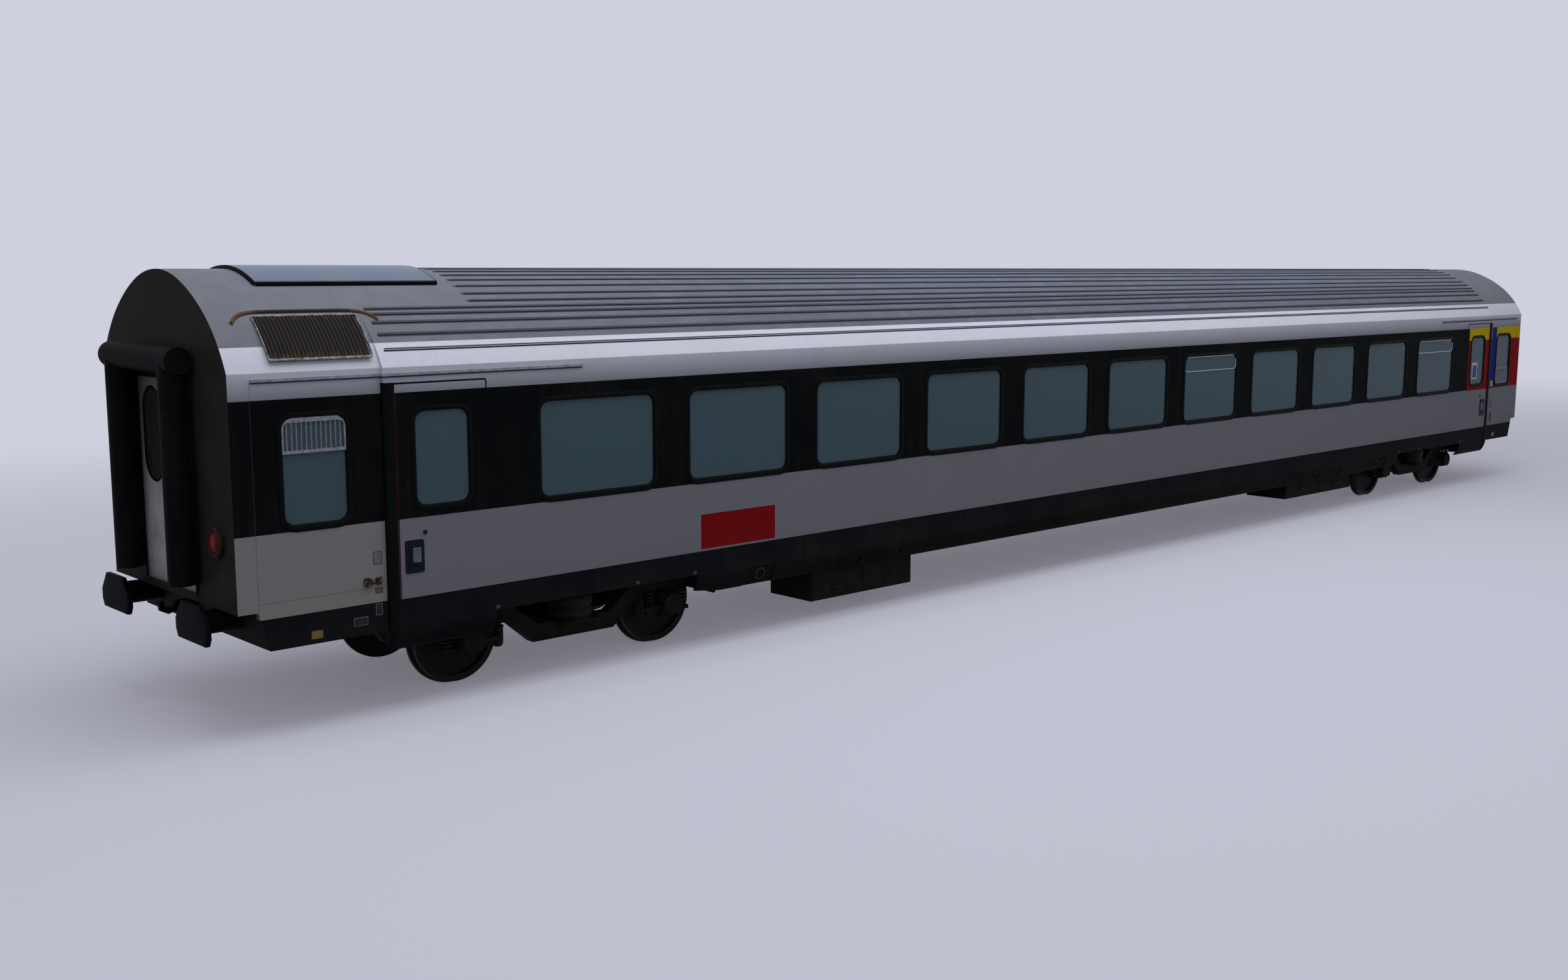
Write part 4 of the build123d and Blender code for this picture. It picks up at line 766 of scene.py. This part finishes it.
# The paint has held in the middle of the gutter and gone from its two ends.
reach = node(tree, "Math", {0: node(tree, "SeparateXYZ", {0: place}).outputs[0], 1: 12.32}, operation="ADD").outputs[0]
reach = node(tree, "Math", {0: reach}, operation="ABSOLUTE").outputs[0]
bare = node(tree, "MapRange", {0: reach, 1: 0.35, 2: 0.60, 3: -0.12, 4: 0.35}).outputs[0]
bare = node(tree, "Math", {0: flakes, 1: bare}, operation="ADD").outputs[0]
bare = node(tree, "MapRange", {0: bare, 1: 0.45, 2: 0.65}).outputs[0]
tree.links.new(over(tree, srgb("#2B2826"), bare, "#5A4526"), shader.inputs["Base Color"])
tree.links.new(node(tree, "Bump", {"Height": flakes, "Distance": 0.003, "Strength": 0.5}).outputs[0],
               shader.inputs["Normal"])
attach(surface("intake_gutter", on_roof(grid), scale), "carbody")

# Bogies: fabricated box-section frames in grime-brown paint, all under one coat of brake
# dust and oil that is thickest on what faces up.
grime_and_shade, tree, shader = finish("brake_dust_and_shade_paint", "#1C1A18", 0.8)
shader.inputs["Specular IOR Level"].default_value = 0.1
place = node(tree, "TexCoord").outputs["Object"]
crust = node(tree, "TexNoise", {"Vector": place, "Scale": 6.0, "Detail": 8.0, "Roughness": 0.68}).outputs[0]
cover = node(tree, "MapRange", {0: crust, 1: 0.38, 2: 0.72}).outputs[0]
# Painted shade: the headstocks are painted near black, as they stand in shadow under the end wall.
along = node(tree, "Math", {0: node(tree, "SeparateXYZ", {0: place}).outputs[0]}, operation="ABSOLUTE").outputs[0]
heads = node(tree, "Math", {0: along, 1: 12.85}, operation="GREATER_THAN").outputs[0]
shade = over(tree, over(tree, srgb("#151312"), cover, "#261F1C"), heads, "#060606")
tree.links.new(shade, shader.inputs["Base Color"])
tree.links.new(node(tree, "Bump", {"Height": crust, "Distance": 0.004, "Strength": 0.5}).outputs[0],
               shader.inputs["Normal"])
wear(["bogie_frame_*", "brake_units_*", "axle_boxes_*", "underframe", "underfloor_boxes", "air_tanks",
      "entry_steps", "end_door_tracks"], grime_and_shade)

# Wheels: rolled steel, brown with dust on web and rim, with the tread and the flange's root
# worn bright by the rail, and machined discs on the axle for the brakes.
tyre, tree, shader = finish("rolled_wheel_steel", "#100E0D", 0.6)
shader.inputs["Specular IOR Level"].default_value = 0.12
place = node(tree, "TexCoord").outputs["Object"]
axes = node(tree, "SeparateXYZ", {0: place}).outputs
hub = None
for centre in (-10.75, -8.25, 8.25, 10.75):
    offset = node(tree, "Math", {0: axes[0], 1: centre}, operation="SUBTRACT").outputs[0]
    offset = node(tree, "Math", {0: offset}, operation="ABSOLUTE").outputs[0]
    hub = offset if hub is None else node(tree, "Math", {0: hub, 1: offset}, operation="MINIMUM").outputs[0]
up = node(tree, "Math", {0: axes[2], 1: 0.46 + RAIL}, operation="SUBTRACT").outputs[0]
squares = [node(tree, "Math", {0: v, 1: 2.0}, operation="POWER").outputs[0]
           for v in (hub, node(tree, "Math", {0: up}, operation="ABSOLUTE").outputs[0])]
radius = node(tree, "Math", {0: squares[0], 1: squares[1]}, operation="ADD").outputs[0]
radius = node(tree, "Math", {0: radius, 1: 0.5}, operation="POWER").outputs[0]
spots = node(tree, "TexNoise", {"Vector": place, "Scale": 14.0, "Detail": 6.0}).outputs[0]
dusty = over(tree, srgb("#100E0D"), node(tree, "MapRange", {0: spots, 1: 0.4, 2: 0.7}).outputs[0], "#1D1815")
flank = node(tree, "Math", {0: axes[1]}, operation="ABSOLUTE").outputs[0]
tread = both_true(tree, node(tree, "MapRange", {0: radius, 1: 0.456, 2: 0.459}).outputs[0],
                  inside(tree, flank, 0.682, 0.806))
disc = both_true(tree, inside(tree, radius, 0.17, 0.292), inside(tree, flank, 0.28, 0.40))
bright = node(tree, "Math", {0: tread, 1: disc}, operation="MAXIMUM").outputs[0]
tree.links.new(over(tree, dusty, bright, "#302D2B"), shader.inputs["Base Color"])
tree.links.new(node(tree, "MapRange", {0: bright, 3: 0.65, 4: 0.38}).outputs[0], shader.inputs["Roughness"])
tree.links.new(node(tree, "MapRange", {0: bright, 3: 0.0, 4: 0.7}).outputs[0], shader.inputs["Metallic"])
wear(["wheelset_*"], tyre)

# Suspension: each axle box stands on two coil springs, and the body on two air springs of
# ribbed rubber between pressed steel plates. The covers of the axle boxes are cast.
coil_steel, tree, shader = finish("painted_spring_steel", "#141416", 0.5, 0.1)
shader.inputs["Specular IOR Level"].default_value = 0.15
place = node(tree, "TexCoord").outputs["Object"]
chips = node(tree, "TexNoise", {"Vector": place, "Scale": 40.0, "Detail": 4.0}).outputs[0]
tree.links.new(over(tree, srgb("#141416"), node(tree, "MapRange", {0: chips, 1: 0.5, 2: 0.65}).outputs[0], "#33281F"),
               shader.inputs["Base Color"])
turn = np.linspace(0, 2 * np.pi * 5.5, 132)
round_bar = np.linspace(0, 2 * np.pi, 8, endpoint=False)
rise = 0.414 + RAIL + (0.192) * np.clip((turn - 2.2) / (turn[-1] - 4.4), 0, 1)
wide = 0.054 + 0.014 * np.cos(round_bar)
coil = np.stack(np.broadcast_arrays(wide[None] * np.cos(turn)[:, None], wide[None] * np.sin(turn)[:, None],
                                    rise[:, None] + 0.014 * np.sin(round_bar)[None]), -1)
roll = np.array([(0.0, 0.4905), (0.215, 0.4905), (0.219, 0.494), (0.219, 0.506), (0.214, 0.510), (0.222, 0.522),
                 (0.2295, 0.548), (0.2295, 0.575), (0.222, 0.602), (0.212, 0.616), (0.212, 0.626), (0.222, 0.640),
                 (0.2295, 0.667), (0.2295, 0.704), (0.222, 0.731), (0.212, 0.745), (0.212, 0.755), (0.222, 0.769),
                 (0.2295, 0.796), (0.2295, 0.823), (0.222, 0.850), (0.214, 0.860), (0.219, 0.864), (0.219, 0.876),
                 (0.215, 0.8835), (0.0, 0.8835)])
bellows_rubber, tree, shader = finish("bellows_rubber", "#0E0F10", 0.6)
shader.inputs["Specular IOR Level"].default_value = 0.12
place = node(tree, "TexCoord").outputs["Object"]
cords = node(tree, "TexNoise", {"Vector": place, "Scale": 30.0, "Detail": 4.0}).outputs[0]
tree.links.new(over(tree, srgb("#0E0F10"), cords, "#181614"), shader.inputs["Base Color"])
cap = [(0.1, -0.001), (0.1205, 0.0), (0.1205, 0.006), (0.112, 0.011), (0.096, 0.011), (0.092, 0.007), (0.045, 0.007),
       (0.040, 0.012), (0.0, 0.012)]
for end, word in ((-9.5, "near"), (9.5, "far")):
    body = f"bogie_{word}"
    grids, boots, covers, bolts = [], [], [], []
    for side in (-1, 1):
        for axle in (-1.25, 1.25):
            for step in (-0.215, 0.215):
                grids.append(coil + (end + axle + step, side * 0.99, 0))
            cover = lathe(cap)
            covers.append(np.stack([cover[..., 0] + end + axle, side * (1.14 + cover[..., 1]),
                                    cover[..., 2] + 0.46 + RAIL], -1))
            for angle in np.arange(6) * np.pi / 3 + 0.3:
                bolt = lathe([(0.0095, 0.006), (0.0095, 0.013), (0.007, 0.015), (0.0, 0.015)], 6)
                bolts.append(np.stack([bolt[..., 0] + end + axle + 0.104 * np.cos(angle), side * (1.14 + bolt[..., 1]),
                                       bolt[..., 2] + 0.46 + RAIL + 0.104 * np.sin(angle)], -1))
        boot = lathe(roll, 48)
        boots.append(np.stack([boot[..., 0] + end, boot[..., 2] + side * 0.99, boot[..., 1] + RAIL], -1))
    springs = surface(f"coil_springs_{word}", grids, coil_steel, ring=True)
    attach(springs, body)
    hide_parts(f"primary_springs_{word}")
    bellows = surface(f"ribbed_bellows_{word}", boots, bellows_rubber, ring=True)
    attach(bellows, body)
    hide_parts(f"air_springs_{word}")
    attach(surface(f"axle_box_covers_{word}", covers, grime_and_shade, ring=True), body)
    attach(surface(f"cover_bolts_{word}", bolts, coil_steel, ring=True), body)

# Seats: upholstered pairs back to back on moulded shells, two by one side of the aisle and
# one by the other. Foam cushion, back and head pad wear blue wool plush with sewn edges.
plush, tree, shader = finish("blue_wool_plush", "#26324A", 0.85)
shader.inputs["Sheen Weight"].default_value = 0.4
place = node(tree, "TexCoord").outputs["Object"]
# Woven dots 9 mm apart, drawn coarser than the real 4 mm so that they show in a render.
weave = node(tree, "TexVoronoi", {"Vector": place, "Scale": 110.0}).outputs[0]
tree.links.new(over(tree, srgb("#26324A"), node(tree, "MapRange", {0: weave, 1: 0.25, 2: 0.55}).outputs[0], "#3B4A68"),
               shader.inputs["Base Color"])
tree.links.new(node(tree, "Bump", {"Height": weave, "Distance": 0.0015, "Strength": 0.5}).outputs[0],
               shader.inputs["Normal"])
shell, tree, shader = finish("moulded_seat_shell", "#55585C", 0.5)
place = node(tree, "TexCoord").outputs["Object"]
grain = node(tree, "TexNoise", {"Vector": place, "Scale": 160.0, "Detail": 2.0}).outputs[0]
tree.links.new(over(tree, srgb("#55585C"), grain, "#606367"), shader.inputs["Base Color"])
tree.links.new(node(tree, "Bump", {"Height": grain, "Distance": 0.0006, "Strength": 0.4}).outputs[0],
               shader.inputs["Normal"])


def pad(size, crown, corner=0.38, steps=12):
    """A stuffed pad: a rounded block whose half sizes are powers of the cosines of latitude
    and longitude, thicker to its middle by the crown, with sides drawn in between corners."""
    turn = np.linspace(0, 2 * np.pi, 2 * steps, endpoint=False)[None]
    tilt = np.linspace(-np.pi / 2, np.pi / 2, steps)[:, None]
    ring = np.cos(tilt) ** 0.5
    x = ring * np.sign(np.cos(turn)) * np.abs(np.cos(turn)) ** corner
    y = ring * np.sign(np.sin(turn)) * np.abs(np.sin(turn)) ** corner
    z = np.sin(tilt) * (1 + crown * (1 - x ** 2) * (1 - y ** 2)) / (1 + crown)
    drawn = np.stack([x * (1 - 0.03 * (1 - y ** 2)), y * (1 - 0.03 * (1 - x ** 2)), z], -1)
    return drawn * np.array(size) / 2


def stood(grid, lean, move, side):
    """Stands a pad on its edge, leans it back by an angle and puts it in its place."""
    x, y, z = np.moveaxis(grid, -1, 0)
    x, z = z * math.cos(lean) - x * math.sin(lean), x * math.cos(lean) + z * math.sin(lean)
    return np.stack([side * (x + move[0]), y + move[1], z + move[2]], -1)


deck = 1.17 + RAIL
for hand, places in (("right", (-1.0725, -0.5125)), ("left", (1.0725,))):
    foam, mould = [], []
    for k in range(-5, 5):
        unit = np.array([(k + 0.5) * 1.881, 0, 0])
        for side in (-1, 1):
            for y in places:
                cushion = pad((0.50, 0.51, 0.135), 0.35) + (0.315, y, deck + 0.385)
                foam.append(cushion * (side, 1, 1) + unit)
                foam.append(stood(pad((0.68, 0.50, 0.085), 0.4), 0.07, (0.080, y, deck + 0.785), side) + unit)
                foam.append(stood(pad((0.20, 0.34, 0.050), 0.5), 0.10, (0.085, y, deck + 1.02), side) + unit)
                base = pad((0.40, 0.46, 0.315), 0.0, 0.25) + (0.25, y, deck + 0.16)
                mould.append(base * (side, 1, 1) + unit)
                mould.append(stood(pad((0.74, 0.53, 0.05), 0.0, 0.25), 0.06, (0.035, y, deck + 0.765), side) + unit)
                for edge in (-0.265, 0.265):
                    arm = pad((0.40, 0.045, 0.055), 0.2, 0.3) + (0.28, y + edge, deck + 0.60)
                    mould.append(arm * (side, 1, 1) + unit)
    pads = surface(f"seat_pads_{hand}", foam, plush, ring=True)
    frames = surface(f"seat_shells_{hand}", mould, shell, ring=True)
    for piece in (pads, frames):
        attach(piece, "carbody")
        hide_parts(f"seats_{hand}")

# Saloon lining: laminate partitions and ceiling panels, a studded rubber floor and racks of
# painted aluminium above the windows.
laminate, tree, shader = finish("pale_laminate", "#9A9C9C", 0.4)
place = node(tree, "TexCoord").outputs["Object"]
fleck = node(tree, "TexNoise", {"Vector": place, "Scale": 90.0, "Detail": 3.0}).outputs[0]
tree.links.new(over(tree, srgb("#9A9C9C"), node(tree, "MapRange", {0: fleck, 1: 0.5, 2: 0.7}).outputs[0], "#878A8B"),
               shader.inputs["Base Color"])
wear(["ceiling", "partitions", "luggage_racks"], laminate)
matting, tree, shader = finish("studded_floor_rubber", "#3A3C3E", 0.7)
place = node(tree, "TexCoord").outputs["Object"]
studs = node(tree, "TexVoronoi", {"Vector": place, "Scale": 30.0, "Randomness": 0.0}).outputs[0]
tree.links.new(over(tree, srgb("#3A3C3E"), studs, "#2E3032"), shader.inputs["Base Color"])
tree.links.new(node(tree, "Bump", {"Height": studs, "Distance": 0.001, "Strength": 0.5}).outputs[0],
               shader.inputs["Normal"])
wear(["floor"], matting)

# Underfloor cases: folded steel boxes for batteries and converters, hung from the cross
# beams. Two doors close each outer side, with a pressed edge, strap hinges and a bent handle.
def on_case(grid, side, face):
    """Lays rows of (x, proud, z) on a flat upright side: y is the face plus proud."""
    x, proud, z = np.moveaxis(grid, -1, 0)
    return np.stack([x, side * (face + proud), z], -1)


def rounded_way(points, passes=3):
    """A bent path: each pass cuts every corner at a quarter and three quarters of its legs."""
    points = np.asarray(points, float)
    for _ in range(passes):
        legs = np.stack([0.75 * points[:-1] + 0.25 * points[1:], 0.25 * points[:-1] + 0.75 * points[1:]], 1)
        points = np.concatenate([points[:1], legs.reshape(-1, 3), points[-1:]])
    return points


def tube(points, radius, steps=10):
    """A round bar: a circle carried along a path, set square to it by two cross products."""
    ahead = np.gradient(points, axis=0)
    ahead /= np.linalg.norm(ahead, axis=1, keepdims=True)
    across = np.cross(ahead, (0.0, 0.02, 1.0))
    across /= np.linalg.norm(across, axis=1, keepdims=True)
    above = np.cross(across, ahead)
    turn = np.linspace(0, 2 * np.pi, steps, endpoint=False)[None, :, None]
    return points[:, None] + radius * (np.cos(turn) * across[:, None] + np.sin(turn) * above[:, None])


CASES = ((-6.179, -4.447, -1, 0.18), (4.699, 6.902, -1, 0.30), (-6.179, -4.447, 1, 0.30), (3.301, 4.902, 1, 0.30))
edge = [(-0.012, 0.0), (-0.010, 0.007), (-0.002, 0.009), (0.006, 0.007), (0.008, 0.0)]
edges, straps = [], []
for x0, x1, side, z0 in CASES:
    half = (x1 - x0) / 4
    for middle in (x0 + half, x1 - half):
        edges.append(on_case(moulding(middle, z0 + 0.03, 0.97, 2 * half - 0.05, 0.03, edge), side, 1.15))
        for step in (-0.28, 0.28):
            straps.append(on_case(plate(middle + step, 0.66, 0.99, 0.045, 0.006, 0.012), side, 1.15))
        straps.append(on_case(plate(middle, z0 + 0.10, z0 + 0.22, 0.20, 0.02, 0.006), side, 1.15))
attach(surface("case_door_edges", edges, grime_and_shade, ring=True), "carbody")
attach(surface("case_straps", straps, grime_and_shade, ring=True), "carbody")
for number, (x0, x1, side, z0) in enumerate(CASES, 1):
    half = (x1 - x0) / 4
    z = z0 + 0.16 + RAIL
    for middle, letter in ((x0 + half, "a"), (x1 - half, "b")):
        way = [(middle - 0.065, side * 1.150, z), (middle - 0.065, side * 1.185, z - 0.01),
               (middle, side * 1.190, z - 0.05), (middle + 0.065, side * 1.185, z - 0.01),
               (middle + 0.065, side * 1.150, z)]
        handle = surface(f"case_handle_{number}{letter}", tube(rounded_way(way), 0.008, 8), coil_steel, ring=True)
        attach(handle, "carbody")

# Pipes and ducts: seamless brake pipes and a folded cable duct run the length of the floor, and a dark plate, standing
# for the shade under the floor, closes the equipment bay behind each bogie.
pipes = []
for y in (0.24, 0.34):
    way = [(-12.7, y, 0.98), (-12.1, y, 0.98), (-11.9, y, 1.00), (11.9, y, 1.00), (12.1, y, 0.98), (12.7, y, 0.98)]
    pipes.append(tube(rounded_way(np.array(way) + (0, 0, RAIL)), 0.017))
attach(surface("brake_pipes", pipes, coil_steel, ring=True), "carbody")
shade_screens, ducts = [], []
# Painted shade: dark plates in place of the shadow under the floor.
shade_screen = np.array([(-1.20, 0.60), (-1.14, 0.50), (1.14, 0.50), (1.20, 0.60), (1.20, 0.98), (-1.20, 0.98)])
for end in (-1, 1):
    grid = shade_screen[None] * np.array([1.0, 1.0, 0.0])[:, None, None] + np.array([0, 0, 1])[:, None, None] * (0.0, 0.75)
    x = end * (7.66 + np.array([0.0, 0.012, 0.012]))[:, None]
    shade_screens.append(np.stack([np.broadcast_to(x, grid.shape[:2]), grid[..., 0], grid[..., 1] + RAIL], -1))
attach(surface("bay_shade_screens", shade_screens, grime_and_shade, ring=True), "carbody")
duct = np.array([(-0.11, 0.875), (0.11, 0.875), (0.11, 0.955), (-0.11, 0.955)])
x = np.linspace(-7.6, 7.6, 3)
for y in (-0.62, 0.66):
    grid = np.stack([np.broadcast_to(x[:, None], (3, 4)), np.broadcast_to(duct[None, :, 0] + y, (3, 4)),
                     np.broadcast_to(duct[None, :, 1] + RAIL, (3, 4))], -1)
    ducts.append(grid)
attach(surface("cable_ducts", ducts, grime_and_shade, ring=True), "carbody")

# Skirt flaps: pressed lids in the recesses of the skirts, hinged along their top edge. The
# outermost cover a filling valve, whose ring handle shows.
FLAPS = ((-7.423, -6.992, 0.78, True), (-6.163, -5.585, 0.69, False), (-5.471, -4.870, 0.69, False),
         (4.658, 5.358, 0.69, False), (5.398, 6.098, 0.69, False), (6.959, 7.691, 0.78, True))
lids, rings, lugs = [], [], []
zinc_dark, tree, shader = finish("dusty_galvanised_ring", "#2A2D31", 0.6)
shader.inputs["Specular IOR Level"].default_value = 0.1
place = node(tree, "TexCoord").outputs["Object"]
dust = node(tree, "TexNoise", {"Vector": place, "Scale": 40.0, "Detail": 4.0}).outputs[0]
tree.links.new(over(tree, srgb("#2A2D31"), dust, "#1B1A19"), shader.inputs["Base Color"])
pressed = [(-0.020, -0.0118), (-0.018, -0.007), (-0.008, -0.005), (0.0, -0.0118)]
for x0, x1, top, valve in FLAPS:
    for side in (-1, 1):
        middle, width = (x0 + x1) / 2, x1 - x0
        lids.append(on_side(moulding(middle, 0.585, top - 0.015, width - 0.03, 0.015, pressed), side, MAIN))
        for step in (-0.3, 0.3):
            lugs.append(on_side(plate(middle + step * width, top - 0.03, top - 0.004, 0.05, 0.004, -0.002, -0.0118),
                                side, MAIN))
        if valve:
            ring = lathe([(0.052, 0.0), (0.052, 0.010), (0.064, 0.014), (0.074, 0.010), (0.074, 0.0)], 28)
            ring = ring * (1, 1, 1) + (middle, -0.0118, 0.69 + RAIL)
            rings.append(on_side(ring, side, MAIN))
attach(surface("flap_lids", lids, enamel, ring=True), "carbody")
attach(surface("flap_hinges", lugs, grime_and_shade, ring=True), "carbody")
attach(surface("valve_rings", rings, zinc_dark, ring=True), "carbody")

# Skirt lugs: small bare steel brackets on the skirt's lower edge, by which the flap over
# each bogie is lifted.
bracket_steel, tree, shader = finish("bare_bracket_steel", "#474B51", 0.55)
shader.inputs["Specular IOR Level"].default_value = 0.1
place = node(tree, "TexCoord").outputs["Object"]
pits = node(tree, "TexNoise", {"Vector": place, "Scale": 60.0, "Detail": 4.0}).outputs[0]
tree.links.new(over(tree, srgb("#474B51"), pits, "#35332F"), shader.inputs["Base Color"])
grids = [on_side(plate(way * x, 0.812, 0.846, 0.05, 0.004, 0.006), side, MAIN)
         for x in (8.17, 8.94, 10.64) for way in (-1, 1) for side in (-1, 1)]
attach(surface("skirt_lugs", grids, bracket_steel, ring=True), "carbody")

# Bogie rigging: a damper hangs from each end of the side beam beside its axle box, a guide
# link holds the box to the beam's drop, and a brake cylinder works each disc's caliper. The
# beams are boxes whose outer plate is set in by 10 mm, so a welded border stands round it.
barrel = [(0.0, 0.0), (0.034, 0.0), (0.048, 0.010), (0.056, 0.032), (0.058, 0.060), (0.058, 0.190), (0.064, 0.195),
          (0.064, 0.210), (0.040, 0.216), (0.040, 0.300), (0.0, 0.300)]
beam = np.array([(-0.5, 0.31), (0.5, 0.31), (0.87, 0.62), (1.5, 0.62), (1.5, 0.75), (0.78, 0.75), (0.44, 0.49),
                 (-0.44, 0.49), (-0.78, 0.75), (-1.5, 0.75), (-1.5, 0.62), (-0.87, 0.62)])
# At each corner the border goes out along the mitre: the sum of the two edges' normals over
# one plus their product.
run = np.roll(beam, -1, 0) - beam
square = np.stack([run[:, 1], -run[:, 0]], -1) / np.linalg.norm(run, axis=1, keepdims=True)
before = np.roll(square, 1, 0)
mitre = (square + before) / (1 + (square * before).sum(1, keepdims=True))
border = np.array([(-0.001, -0.001), (-0.002, 0.009), (-0.020, 0.009), (-0.023, -0.001)])
drum = [(0.0, 0.0), (0.055, 0.0), (0.066, 0.010), (0.066, 0.085), (0.088, 0.095), (0.092, 0.102), (0.092, 0.118),
        (0.086, 0.124), (0.086, 0.175), (0.072, 0.190), (0.0, 0.194)]
for end, word in ((-9.5, "near"), (9.5, "far")):
    body = f"bogie_{word}"
    dampers, links, drums, borders = [], [], [], []
    for side in (-1, 1):
        flat = beam[None] + border[:, None, :1] * mitre[None]
        borders.append(np.stack([flat[..., 0] + end, np.broadcast_to(side * (1.05 + border[:, 1:]), flat.shape[:2]),
                                 flat[..., 1] + RAIL], -1))
        for way in (-1, 1):
            damper = lathe(barrel, 16)
            dampers.append(np.stack([damper[..., 0] + end + way * 0.885, damper[..., 2] + side * 0.99,
                                     damper[..., 1] + 0.325 + RAIL], -1))
            path = [(end + way * 1.14, side * 1.078, 0.440), (end + way * 1.02, side * 1.078, 0.436),
                    (end + way * 0.885, side * 1.040, 0.425)]
            links.append(tube(rounded_way(np.array(path) + (0, 0, RAIL), 2), 0.024, 12))
            can = lathe(drum, 20)
            drums.append(np.stack([end + way * (0.245 + can[..., 1]), can[..., 0] + side * 0.34,
                                   can[..., 2] + 0.62 + RAIL], -1))
    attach(surface(f"beam_borders_{word}", borders, grime_and_shade, ring=True), body)
    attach(surface(f"axle_dampers_{word}", dampers, grime_and_shade, ring=True), body)
    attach(surface(f"guide_links_{word}", links, grime_and_shade, ring=True), body)
    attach(surface(f"brake_cylinders_{word}", drums, grime_and_shade, ring=True), body)
